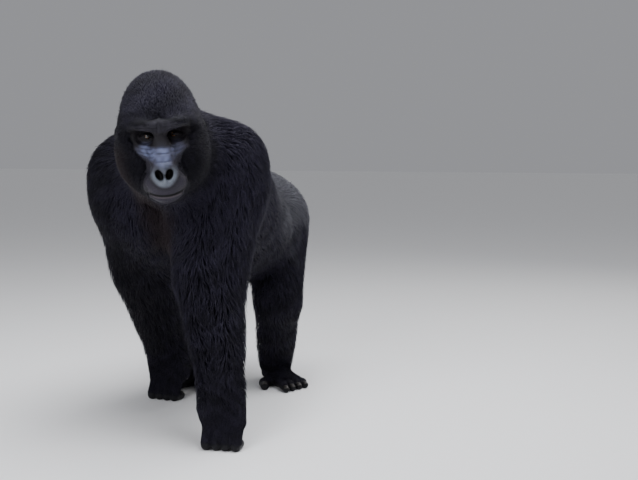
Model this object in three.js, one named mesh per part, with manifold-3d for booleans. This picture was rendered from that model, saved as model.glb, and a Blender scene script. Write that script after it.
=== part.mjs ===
// A silverback mountain gorilla, life size, walking on its knuckles and soles, as a still model.
//
// Lengths are millimetres. The animal faces -Y, its own left is +X, and +Z is up. The body is a set
// of rounded forms (ribs, belly, muscles, bones under the skin) that melt into each other, each with
// the thickness of coat that lies over it. A closed skin is wrapped round them and then parted with
// thin cuts at the joints, so that each part of the body is a solid of its own.
import * as THREE from "three";
import { mergeVertices } from "three/addons/utils/BufferGeometryUtils.js";
import loadManifold from "manifold-3d";

const wasm = await loadManifold();
wasm.setup();

const vec = (x, y, z) => new THREE.Vector3(x, y, z);
const SIDES = { left: 1, right: -1 };

// ---- Driving dimensions ------------------------------------------------------------------------

// Where the joints are in this stride: left hand forward, right hand back, right foot close behind it.
const SHOULDER = { left: vec(198, -300, 825), right: vec(-190, -235, 788) };
const ELBOW = { left: vec(156, -365, 470), right: vec(-180, -125, 455) };
const WRIST = { left: vec(250, -500, 178), right: vec(-182, 10, 178) };
const HIP = { left: vec(110, 330, 605), right: vec(-110, 320, 605) };
const KNEE = { left: vec(170, 200, 330), right: vec(-178, 130, 325) };
const ANKLE = { left: vec(106, 345, 88), right: vec(-150, 275, 88) };
const HAND_YAW = { left: 6, right: -5 };
const HAND_SHIFT = { left: 20, right: 26 };
const FOOT_YAW = { left: 38, right: -14 };

// The head looks to the animal's left and down, and leans a little.
const EYES = vec(165, -700, 903);
const HEAD_YAW = 27;
const HEAD_PITCH = 17;
const HEAD_ROLL = 5.5;
const EYE_RADIUS = 12;
const EYE_SPACING = 71;

// Length of the coat on each region, from the skin to the tips.
const COAT_HEAD = 13;
const COAT_TRUNK = 18;
const COAT_UPPER_ARM = 24;
const COAT_FOREARM = 32;
const COAT_WRIST = 24;
const COAT_LEG = 18;
const COAT_ANKLE = 24;
const COAT_HAND = 12;
const COAT_FOOT = 4;

const KNUCKLE_HEIGHT = 78;
const FINGER_PITCH = 29;
const TOE_COUNT = 4;
const FINGER_COUNT = 4;

// Width of the parting cuts, and the size of the skin's cells on each region.
const GAP = 0.4;
const CELL_TRUNK = 70;
const CELL_HEAD = 24;
const CELL_LIMB = 50;
const CELL_PALM = 28;
const CELL_FINGER = 20;
const CELL_FOOT = 28;
const CELL_TOE = 19;

// ---- Rounded forms -----------------------------------------------------------------------------

const FAR = 500;
const REACH = 60;
const FILLED = 0.5;

/** Rotation about one axis, in degrees. */
function turn(axis, degrees) {
  return new THREE.Matrix4().makeRotationAxis(axis, THREE.MathUtils.degToRad(degrees));
}

const X_AXIS = vec(1, 0, 0);
const Y_AXIS = vec(0, 1, 0);
const Z_AXIS = vec(0, 0, 1);

/** An ellipsoid with three radii, grown by its coat, which melts into its neighbours over blend. */
function ball(at, radii, { blend = 30, coat = 0, cut = false, turned = new THREE.Matrix4() } = {}) {
  const place = turned.clone().setPosition(at);
  const r = radii.clone().addScalar(coat);
  const local = vec(0, 0, 0);
  let inverse = place.clone().invert();
  return {
    blend,
    cut,
    centre: at.clone(),
    range: Math.max(r.x, r.y, r.z) + REACH + blend,
    move(matrix) {
      this.centre.applyMatrix4(matrix);
      inverse = place.clone().premultiply(matrix).invert();
      return this;
    },
    depth(p) {
      local.copy(p).applyMatrix4(inverse);
      const k0 = Math.hypot(local.x / r.x, local.y / r.y, local.z / r.z) + 1e-9;
      const k1 = Math.hypot(local.x / r.x ** 2, local.y / r.y ** 2, local.z / r.z ** 2) + 1e-9;
      return (k0 * (k0 - 1)) / k1;
    },
  };
}

/** A round length from a to b that tapers, may swell by belly at its middle, and has a coat. */
function limb(a, b, ra, rb, { blend = 30, coat = 0, coatEnd = coat, cut = false, belly = 0 } = {}) {
  const line = new THREE.Line3(a.clone(), b.clone());
  const near = vec(0, 0, 0);
  return {
    blend,
    cut,
    centre: line.getCenter(vec(0, 0, 0)),
    range: line.distance() / 2 + Math.max(ra, rb) + belly + Math.max(coat, coatEnd) + REACH + blend,
    move(matrix) {
      line.applyMatrix4(matrix);
      this.centre.applyMatrix4(matrix);
      return this;
    },
    depth(p) {
      const t = line.closestPointToPointParameter(p, true);
      line.at(t, near);
      const bare = ra + (rb - ra) * t + belly * 4 * t * (1 - t);
      return near.distanceTo(p) - bare - (coat + (coatEnd - coat) * t);
    },
  };
}

/** A round bead along a smooth curve; each of its points is [x, y, z, radius]. */
function ridge(points, { blend = 10, coat = 0, cut = false, steps = 3 } = {}) {
  const curve = new THREE.CatmullRomCurve3(points.map(([x, y, z]) => vec(x, y, z)));
  const spans = points.length - 1;
  const beads = [];
  const radius = (t) => {
    const i = Math.min(Math.floor(t * spans), spans - 1);
    return THREE.MathUtils.lerp(points[i][3], points[i + 1][3], t * spans - i);
  };
  for (let i = 0; i < spans * steps; i += 1) {
    const t0 = i / (spans * steps);
    const t1 = (i + 1) / (spans * steps);
    beads.push(limb(curve.getPoint(t0), curve.getPoint(t1), radius(t0), radius(t1), { coat }));
  }
  const centre = beads[Math.floor(beads.length / 2)].centre.clone();
  const longest = Math.max(...beads.map((bead) => bead.centre.distanceTo(centre) + bead.range));
  return {
    blend,
    cut,
    centre,
    range: longest,
    move(matrix) {
      beads.forEach((bead) => bead.move(matrix));
      centre.applyMatrix4(matrix);
      return this;
    },
    depth: (p) => Math.min(...beads.map((bead) => bead.depth(p))),
  };
}

/** The lesser of two depths, rounded over a width where they are close. */
function softMin(a, b, width) {
  const near = Math.max(width - Math.abs(a - b), 0) / width;
  return Math.min(a, b) - (near * near * width) / 4;
}

/** Depth of a point in forms that melt together: negative inside the body. */
function depthIn(forms, p) {
  let depth = FAR;
  for (const form of forms) {
    if (form.centre.distanceToSquared(p) > form.range ** 2) continue;
    const own = form.depth(p);
    depth = form.cut ? -softMin(-depth, own, form.blend) : softMin(depth, own, form.blend);
  }
  return depth;
}

/** Calls make(1) and make(-1), for what the body has on its left and on its right. */
const mirrored = (make) => [...make(1), ...make(-1)];

// ---- Head --------------------------------------------------------------------------------------

const headPlace = turn(Z_AXIS, HEAD_YAW)
  .multiply(turn(X_AXIS, HEAD_PITCH))
  .multiply(turn(Y_AXIS, -HEAD_ROLL))
  .setPosition(EYES);
const onHead = (x, y, z) => vec(x, y, z).applyMatrix4(headPlace);

/** Skull, crest, jaws and face, measured from the point between the eyes. */
function headForms() {
  const coat = COAT_HEAD;
  const skull = [
    ball(vec(0, 85, 20), vec(98, 112, 92), { coat }),
    ball(vec(0, 110, 58), vec(70, 92, 72), { blend: 40, coat }),
    ...mirrored((s) => [
      limb(vec(s * 74, 30, 0), vec(s * 78, 100, -25), 28, 32, { coat }),
      ball(vec(s * 62, 66, -80), vec(42, 62, 70), { blend: 50, coat: 12 }),
      ball(vec(s * 60, 22, -36), vec(34, 42, 24), { blend: 20, coat: 2 }),
    ]),
  ];
  const muzzle = [
    ball(vec(0, -8, -52), vec(46, 60, 46)),
    ball(vec(0, -24, -116), vec(58, 68, 36), { turned: turn(X_AXIS, 6) }),
    ball(vec(0, -12, -150), vec(50, 62, 34), { blend: 25, coat: 2 }),
    ball(vec(0, 45, -135), vec(55, 65, 45), { blend: 40, coat: 12 }),
    ball(vec(0, 26, 52), vec(84, 46, 30), { blend: 30, coat: 6 }),
  ];
  const brow = mirrored((s) => [
    ridge([
      [0, -24.5, 36, 17.5],
      [s * 22, -29, 40, 18.5],
      [s * 46, -25, 43, 19],
      [s * 70, -7, 39, 18],
      [s * 89, 16, 22, 15],
      [s * 99, 40, -6, 12],
    ], { blend: 14 }),
  ]);
  const nose = [
    ball(vec(0, -68, -85), vec(33, 21, 31), { blend: 16 }),
    ...mirrored((s) => [
      limb(vec(s * 7, -16, 22), vec(s * 13, -56, -50), 12, 18, { blend: 16 }),
      ridge([[s * 30, -62, -92, 6], [s * 43, -54, -112, 7], [s * 53, -36, -134, 7]], { blend: 20 }),
    ]),
  ];
  const openings = mirrored((s) => [
    ball(vec(s * 40, -14, 3), vec(33, 24, 15.5), { blend: 10, cut: true }),
    ball(vec(s * 13.4, -91, -85.5), vec(10, 14, 15), { blend: 4, cut: true }),
  ]);
  return [...skull, ...muzzle, ...brow, ...nose, ...openings].map((form) => form.move(headPlace));
}

// ---- Trunk and neck ----------------------------------------------------------------------------

/** Rib cage, shoulder hump, belly, pelvis, spine, chest and rump, and the neck up to the skull. */
function trunkForms() {
  const coat = COAT_TRUNK;
  const middle = [
    ball(vec(0, -115, 665), vec(200, 262, 195), { blend: 80, coat, turned: turn(X_AXIS, -8) }),
    ball(vec(0, -250, 780), vec(200, 170, 130), { blend: 80, coat, turned: turn(X_AXIS, -10) }),
    ball(vec(0, 70, 595), vec(235, 270, 180), { blend: 80, coat, turned: turn(X_AXIS, -6) }),
    ball(vec(0, 310, 630), vec(160, 155, 145), { blend: 80, coat }),
    limb(vec(0, -220, 790), vec(0, 320, 675), 100, 90, { blend: 80, coat }),
  ];
  const flanks = mirrored((s) => [
    ball(vec(s * 100, -300, 690), vec(100, 100, 120), { blend: 50, coat }),
    ball(vec(s * 160, -140, 705), vec(90, 165, 135), { blend: 80, coat, turned: turn(X_AXIS, -12) }),
    ball(vec(s * 90, 360, 600), vec(98, 115, 125), { blend: 70, coat }),
  ]);
  const neck = [
    limb(vec(10, -260, 770), onHead(0, 100, -70), 135, 112, { blend: 60, coat }),
    limb(vec(0, -220, 820), onHead(0, 165, 40), 115, 78, { blend: 60, coat }),
  ];
  const breastCleft = ridge([
    [20, -440, 800, 20],
    [16, -425, 720, 22],
    [14, -412, 640, 22],
    [18, -400, 560, 20],
  ], { blend: 40, cut: true });
  return [...middle, ...flanks, ...neck, breastCleft];
}

// ---- Arms --------------------------------------------------------------------------------------

/** Middle of the row of knuckles, and a function from hand measures to places. */
function handPlace(side) {
  const yaw = turn(Z_AXIS, HAND_YAW[side]);
  const wrist = WRIST[side];
  const middle = vec(wrist.x, wrist.y - 30, KNUCKLE_HEIGHT);
  const row = vec(HAND_SHIFT[side], 0, 0).applyMatrix4(yaw).add(middle);
  return {
    yaw,
    row,
    at: (x, y, z) => vec(x, y, z).applyMatrix4(yaw).add(row),
    fromWrist: (x, y, z) => vec(x, y, z).applyMatrix4(yaw).add(wrist),
  };
}

/** Shoulder and upper arm. */
function upperArmForms(side) {
  const s = SIDES[side];
  const shoulder = SHOULDER[side];
  const elbow = ELBOW[side];
  const from = (x, y, z) => vec(x, y, z).add(shoulder);
  const hair = { coat: COAT_TRUNK, coatEnd: COAT_UPPER_ARM };
  return [
    ball(from(s * 5, 0, -20), vec(90, 105, 115), { blend: 60, coat: COAT_TRUNK }),
    limb(shoulder, elbow, 94, 80, { blend: 50, ...hair, belly: 8 }),
    limb(vec(s * 105, -305, 660), shoulder.clone().lerp(elbow, 0.9), 96, 82, { blend: 50, ...hair }),
    limb(from(0, 45, -80), elbow.clone().add(vec(0, 36, 50)), 82, 70, { blend: 50, ...hair }),
    limb(from(-s * 70, -20, 30), from(0, -10, -100), 85, 80, { blend: 60, coat: COAT_TRUNK }),
  ];
}

/** Forearm, thick with its long hair, from the elbow to the wrist. The left one swings clear of the
 * leg behind it and carries the whole mass of its hind muscles and hair. */
function forearmForms(side) {
  const elbow = ELBOW[side];
  const wrist = WRIST[side];
  const hair = { coat: COAT_FOREARM, coatEnd: COAT_WRIST };
  const bones = limb(elbow, wrist, 74, 45, { blend: 40, ...hair, belly: 6 });
  if (side === "right") return [bones];
  const top = elbow.clone().add(vec(0, 24, -30));
  const end = elbow.clone().lerp(wrist, 0.7).add(vec(0, 14, 0));
  return [bones, limb(top, end, 62, 44, { blend: 40, ...hair })];
}

/** Palm and the four fingers, folded so that their middle joints stand on the ground. */
function handForms(side) {
  const { row, at, fromWrist } = handPlace(side);
  const forms = [];
  for (let i = 0; i < FINGER_COUNT; i += 1) {
    const x = (i - (FINGER_COUNT - 1) / 2) * FINGER_PITCH;
    const palm = fromWrist(x * 0.75, 0, -5);
    const knuckle = at(x, 0, 0);
    const bend = at(x, -30, 15 - KNUCKLE_HEIGHT);
    const fold = at(x, 14, 12 - KNUCKLE_HEIGHT);
    forms.push(limb(palm, knuckle, 27, 20, { blend: 20, coat: COAT_HAND + 6, coatEnd: COAT_HAND / 2 }));
    forms.push(limb(knuckle, bend, 17, 16, { blend: 6, coat: 4, coatEnd: 2 }));
    forms.push(limb(bend, fold, 16, 15, { blend: 4, coat: 1 }));
  }
  return forms;
}

/** The short thumb, which hangs beside the palm clear of the ground. */
function thumbForms(side) {
  const s = SIDES[side];
  const { at, fromWrist } = handPlace(side);
  const middle = at(-s * 66, 18, 32);
  return [
    limb(fromWrist(-s * 34, 4, -15), middle, 24, 16, { blend: 20, coat: 8, coatEnd: 4 }),
    limb(middle, at(-s * 64, 12, 4), 16, 13, { blend: 10, coat: 2 }),
  ];
}

// ---- Legs --------------------------------------------------------------------------------------

/** A function from foot measures (x outward, y back, z up from the ground) to places. */
function footPlace(side) {
  const s = SIDES[side];
  const yaw = turn(Z_AXIS, FOOT_YAW[side]);
  const ankle = ANKLE[side];
  return (x, y, z) => vec(s * x, y, z).applyMatrix4(yaw).add(vec(ankle.x, ankle.y, 0));
}

/** Thigh, from the hip to the knee. */
function thighForm(side) {
  return limb(HIP[side], KNEE[side], 105, 68, { blend: 60, coat: COAT_LEG, belly: 6 });
}

/** Lower leg, from the knee to the ankle. */
function shankForm(side) {
  const hair = { coat: COAT_LEG, coatEnd: COAT_ANKLE, belly: 6 };
  return limb(KNEE[side], ANKLE[side], 60, 44, { blend: 40, ...hair });
}

const TOE_ROOT = (i) => [-20 + 24 * i, -120 + 6 * i];
const TOE_TIP = (i) => [-22 + 29 * i, -192 + 15 * i];

/** Heel, arch and ball of the foot, four toes, and the big toe that stands apart like a thumb. */
function footForms(side) {
  const at = footPlace(side);
  const ankle = ANKLE[side];
  const heel = at(0, 45, 28);
  const pad = at(5, -115, 24);
  const forms = [
    limb(ankle, heel, 36, 30, { coat: 6 }),
    limb(ankle.clone().add(vec(0, 0, -10)), pad, 36, 24, { coat: COAT_FOOT + 2 }),
    limb(heel, pad, 30, 26, { blend: 20, coat: 2 }),
    limb(at(-10, -90, 24), at(40, -95, 20), 26, 22, { blend: 20, coat: 2 }),
  ];
  for (let i = 0; i < TOE_COUNT; i += 1) {
    const [rootX, rootY] = TOE_ROOT(i);
    const [tipX, tipY] = TOE_TIP(i);
    const middle = at(-22 + 28 * i, -165 + 12 * i, 20 - i);
    forms.push(limb(at(rootX, rootY, 20), middle, 16, 15, { blend: 8, coat: 1 }));
    forms.push(limb(middle, at(tipX, tipY, 10), 15, 14, { blend: 4 }));
  }
  forms.push(limb(at(-20, -45, 22), at(-70, -88, 17), 20, 18, { blend: 20, coat: 1 }));
  forms.push(limb(at(-70, -88, 17), at(-80, -125, 14), 18, 16, { blend: 10 }));
  return forms;
}

// ---- Wrapping a skin round the forms -----------------------------------------------------------

/** One grid of sample points over a box, cell apart. */
function gridOver(box, cell) {
  const count = box.getSize(vec(0, 0, 0)).divideScalar(cell).ceil().addScalar(1);
  const index = (i, j, k) => (i * count.y + j) * count.z + k;
  const place = (i, j, k) => vec(i, j, k).multiplyScalar(cell).add(box.min);
  return { count, index, place };
}

/** Moves a point onto the surface where depth is nil, by two short Newton steps. */
function settle(depth, p, most) {
  const probe = 0.5;
  for (let round = 0; round < 2; round += 1) {
    const d = depth(p);
    const slope = vec(
      depth(vec(p.x + probe, p.y, p.z)) - d,
      depth(vec(p.x, p.y + probe, p.z)) - d,
      depth(vec(p.x, p.y, p.z + probe)) - d,
    ).divideScalar(probe);
    const step = THREE.MathUtils.clamp(d / Math.max(slope.lengthSq(), 0.1), -most, most);
    p.addScaledVector(slope, -step);
  }
}

const AXES = [[0, 1, 2], [1, 2, 0], [2, 0, 1]];

/** Fills in samples until no grid square is inside at two opposite corners alone, as two sheets of
 * the skin would meet in one edge there. */
function partSheets(sample, { count, index }) {
  let filled = true;
  while (filled) {
    filled = false;
    for (let i = 0; i < count.x - 1; i += 1) {
      for (let j = 0; j < count.y - 1; j += 1) {
        for (let k = 0; k < count.z - 1; k += 1) {
          for (const [first, second] of AXES) {
            const corners = [[0, 0], [1, 0], [1, 1], [0, 1]].map(([u, v]) => {
              const at = [i, j, k];
              at[first] += u;
              at[second] += v;
              return index(...at);
            });
            const [a, b, c, d] = corners.map((n) => sample[n] < 0);
            if (a !== c || b !== d || a === b) continue;
            const outside = corners.filter((n) => sample[n] >= 0);
            sample[sample[outside[0]] < sample[outside[1]] ? outside[0] : outside[1]] = -FILLED;
            filled = true;
          }
        }
      }
    }
  }
}

/** A closed skin of four-sided cells, each parted in two, round the place where depth is nil.
 * The box's outermost samples count as outside, so the skin also closes where the box ends. */
function wrap(depth, box, cell) {
  const grid = gridOver(box, cell);
  const { count, index, place } = grid;
  const sample = new Float64Array(count.x * count.y * count.z);
  const inner = new THREE.Box3(place(1, 1, 1), place(count.x - 2, count.y - 2, count.z - 2));
  for (let i = 0; i < count.x; i += 1) {
    for (let j = 0; j < count.y; j += 1) {
      for (let k = 0; k < count.z; k += 1) {
        const onEdge = [i, j, k].some((n, axis) => n === 0 || n === count.getComponent(axis) - 1);
        sample[index(i, j, k)] = onEdge ? cell : depth(place(i, j, k));
      }
    }
  }

  partSheets(sample, grid);

  // One vertex in each grid cell that the surface crosses, at the mean of its crossings.
  const steps = [[1, 0, 0], [0, 1, 0], [0, 0, 1]];
  const vertexOf = new Map();
  const points = [];
  for (let i = 0; i < count.x - 1; i += 1) {
    for (let j = 0; j < count.y - 1; j += 1) {
      for (let k = 0; k < count.z - 1; k += 1) {
        const mean = vec(0, 0, 0);
        let crossings = 0;
        steps.forEach(([dx, dy, dz], axis) => {
          const [a, b] = steps.filter((_, other) => other !== axis);
          for (const [u, v] of [[0, 0], [1, 0], [0, 1], [1, 1]]) {
            const [x, y, z] = [0, 1, 2].map((n) => [i, j, k][n] + u * a[n] + v * b[n]);
            const low = sample[index(x, y, z)];
            const high = sample[index(x + dx, y + dy, z + dz)];
            if (low < 0 === high < 0) continue;
            const t = low / (low - high);
            mean.add(place(x + dx * t, y + dy * t, z + dz * t));
            crossings += 1;
          }
        });
        if (!crossings) continue;
        const point = mean.divideScalar(crossings);
        if (inner.containsPoint(point)) settle(depth, point, cell / 2);
        vertexOf.set(index(i, j, k), points.length);
        points.push(point);
      }
    }
  }

  // One four-sided face across each grid edge that the surface crosses, facing out.
  const faces = [];
  const ring = [[0, 0], [-1, 0], [-1, -1], [0, -1]];
  for (let i = 0; i < count.x - 1; i += 1) {
    for (let j = 0; j < count.y - 1; j += 1) {
      for (let k = 0; k < count.z - 1; k += 1) {
        const inside = sample[index(i, j, k)] < 0;
        steps.forEach(([dx, dy, dz], axis) => {
          const besideEdge = [i, j, k].some((n, other) => other !== axis && n === 0);
          if (besideEdge || inside === sample[index(i + dx, j + dy, k + dz)] < 0) return;
          const a = steps[(axis + 1) % 3];
          const b = steps[(axis + 2) % 3];
          const corners = ring.map(([u, v]) => vertexOf.get(
            index(i + u * a[0] + v * b[0], j + u * a[1] + v * b[1], k + u * a[2] + v * b[2]),
          ));
          if (!inside) corners.reverse();
          const [p, q, r, s] = corners;
          const straight = points[p].distanceTo(points[r]) < points[q].distanceTo(points[s]);
          faces.push(...(straight ? [p, q, r, p, r, s] : [p, q, s, q, r, s]));
        });
      }
    }
  }
  return solidOf(points.flatMap((point) => point.toArray()), faces);
}

// ---- Joining and cutting -----------------------------------------------------------------------

function solidOf(coordinates, faces) {
  return new wasm.Manifold(new wasm.Mesh({
    numProp: 3,
    vertProperties: Float32Array.from(coordinates),
    triVerts: Uint32Array.from(faces),
  }));
}

/** A solid from a closed three.js geometry, put in place by a matrix. */
function solidFrom(geometry, matrix = new THREE.Matrix4()) {
  const plain = geometry.clone();
  plain.deleteAttribute("normal");
  plain.deleteAttribute("uv");
  const welded = mergeVertices(plain, 1e-3).applyMatrix4(matrix);
  return solidOf(welded.attributes.position.array, welded.index.array);
}

/** A cut through the body: a point on it and the way that it faces. */
const cutPlane = (point, normal) => ({ point, normal: normal.clone().normalize() });

/** What lies on the side of a cut that it faces. */
function ahead(solid, { point, normal }) {
  return solid.trimByPlane(normal.toArray(), point.dot(normal) + GAP / 2);
}

/** What lies behind a cut. */
function behind(solid, { point, normal }) {
  return solid.trimByPlane(normal.clone().negate().toArray(), -point.dot(normal) + GAP / 2);
}

/** The largest of the bodies in a solid, without the slivers that a cut may leave. */
function largest(solid) {
  return solid.decompose().reduce((best, body) => (body.volume() > best.volume() ? body : best));
}

const GROUND = { point: vec(0, 0, -GAP / 2), normal: Z_AXIS };

/** A capsule that takes a limb out of the trunk, grown by extra. */
function sleeve(a, b, radius, extra) {
  const along = b.clone().sub(a);
  const geometry = new THREE.CapsuleGeometry(radius + extra, along.length(), 3, 10);
  const place = new THREE.Matrix4()
    .makeRotationFromQuaternion(new THREE.Quaternion().setFromUnitVectors(Y_AXIS, along.normalize()))
    .setPosition(a.clone().add(b).multiplyScalar(0.5));
  return solidFrom(geometry, place);
}

// ---- The animal --------------------------------------------------------------------------------

const coatLook = { color: 0x1b1b22, roughness: 0.85, metalness: 0 };
const silverLook = { color: 0x3a3b40, roughness: 0.85, metalness: 0 };
const skinLook = { color: 0x2a292d, roughness: 0.55, metalness: 0 };
const eyeLook = { color: 0x2a160c, roughness: 0.15, metalness: 0 };

const gorilla = new THREE.Group();

/** Adds one named part of the body. */
function part(name, solid, look) {
  const { vertProperties, triVerts } = largest(solid).getMesh();
  const geometry = new THREE.BufferGeometry();
  geometry.setAttribute("position", new THREE.BufferAttribute(Float32Array.from(vertProperties), 3));
  geometry.setIndex(new THREE.BufferAttribute(Uint32Array.from(triVerts), 1));
  geometry.computeVertexNormals();
  const mesh = new THREE.Mesh(geometry, new THREE.MeshStandardMaterial(look));
  mesh.name = name;
  gorilla.add(mesh);
}

const box = (x0, y0, z0, x1, y1, z1) => new THREE.Box3(vec(x0, y0, z0), vec(x1, y1, z1));
const aroundPoint = (point, x, y, z) => new THREE.Box3().setFromCenterAndSize(point, vec(x, y, z));

const trunk = trunkForms();
const head = headForms();
const upperArms = Object.keys(SIDES).map(upperArmForms);
const thighs = Object.keys(SIDES).map((side) => [thighForm(side)]);
const arms = Object.keys(SIDES).map((side) => [...upperArmForms(side), ...forearmForms(side)]);
const legs = Object.keys(SIDES).map((side) => [thighForm(side), shankForm(side)]);

/** Depth in the trunk and some limbs. No two limbs melt into each other. */
function bodyDepth(limbs, p) {
  const middle = depthIn(trunk, p);
  return Math.min(...limbs.map((forms) => softMin(middle, depthIn(forms, p), REACH)));
}

// Cuts across the head, the neck and the waist.
const headCut = cutPlane(onHead(0, 140, -30), vec(0, -0.84, 0.54).transformDirection(headPlace));
const neckCut = cutPlane(vec(0, -440, 860), vec(0, -0.8, 0.6));
const waistCut = cutPlane(vec(0, -60, 600), vec(0, -1, 0.12));
const loinCut = cutPlane(vec(0, 215, 600), vec(0, -1, 0.12));

// Three skins on the same grid: one ends at the elbows and knees, one has the whole arms, and one
// has the whole legs.
const bodyBox = box(-430, -760, 20, 430, 620, 1180);
const body = wrap((p) => bodyDepth([...upperArms, ...thighs], p), bodyBox, CELL_TRUNK);
const bodyWith = {
  arm: wrap((p) => bodyDepth(arms, p), bodyBox, CELL_TRUNK),
  leg: wrap((p) => bodyDepth(legs, p), bodyBox, CELL_TRUNK),
};

/** Capsules round the upper arms and thighs, which part them from the trunk. A thigh's top is set
 * outward of its hip, so that the two don't meet. */
const SLEEVES = {
  arm: { radius: 150, top: SHOULDER, end: ELBOW, outward: 10 },
  leg: { radius: 150, top: HIP, end: KNEE, outward: 46 },
};
const FOREARM_CLEARANCE = 124;
let middleBody = body;
const roots = {};
for (const side of Object.keys(SIDES)) {
  for (const [limbName, { radius, top, end, outward }] of Object.entries(SLEEVES)) {
    const start = vec(SIDES[side] * outward, 0, 0).add(top[side]);
    const whole = bodyWith[limbName];
    roots[`${limbName}_${side}`] = whole.intersect(sleeve(start, end[side], radius, 0));
    middleBody = middleBody.subtract(sleeve(start, end[side], radius, GAP));
  }
  middleBody = middleBody.subtract(sleeve(ELBOW[side], WRIST[side], FOREARM_CLEARANCE, 0));
}

part("neck", ahead(behind(middleBody, headCut), neckCut), coatLook);
const torso = behind(middleBody, neckCut);
part("chest", ahead(torso, waistCut), coatLook);
part("belly", ahead(behind(torso, waistCut), loinCut), silverLook);
part("pelvis", behind(torso, loinCut), silverLook);

// Head, with the eyeballs in their sockets and the ears let into the hair at its sides.
const headDepth = (p) => depthIn([...trunk, ...head], p);
const headSkin = wrap(headDepth, aroundPoint(onHead(0, 60, -20), 460, 520, 480), CELL_HEAD);
let skull = ahead(headSkin, headCut);
for (const [side, s] of Object.entries(SIDES)) {
  const eyeAt = turn(X_AXIS, 0).setPosition(onHead((s * EYE_SPACING) / 2, 4, 0));
  const eyeball = (radius) => solidFrom(new THREE.SphereGeometry(radius, 12, 7), eyeAt);
  part(`eye_${side}`, eyeball(EYE_RADIUS), eyeLook);
  skull = skull.subtract(eyeball(EYE_RADIUS + GAP));

  const earPlace = headPlace.clone()
    .multiply(new THREE.Matrix4().makeTranslation(s * 121, 74, -12))
    .multiply(turn(Z_AXIS, s * 24));
  const ear = (grow) => solidFrom(
    new THREE.SphereGeometry(1, 9, 6),
    earPlace.clone().scale(vec(11 + grow, 20 + grow, 29 + grow)),
  );
  part(`ear_${side}`, ear(0), skinLook);
  skull = skull.subtract(ear(GAP * 2));
}
part("head", skull, coatLook);

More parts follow.
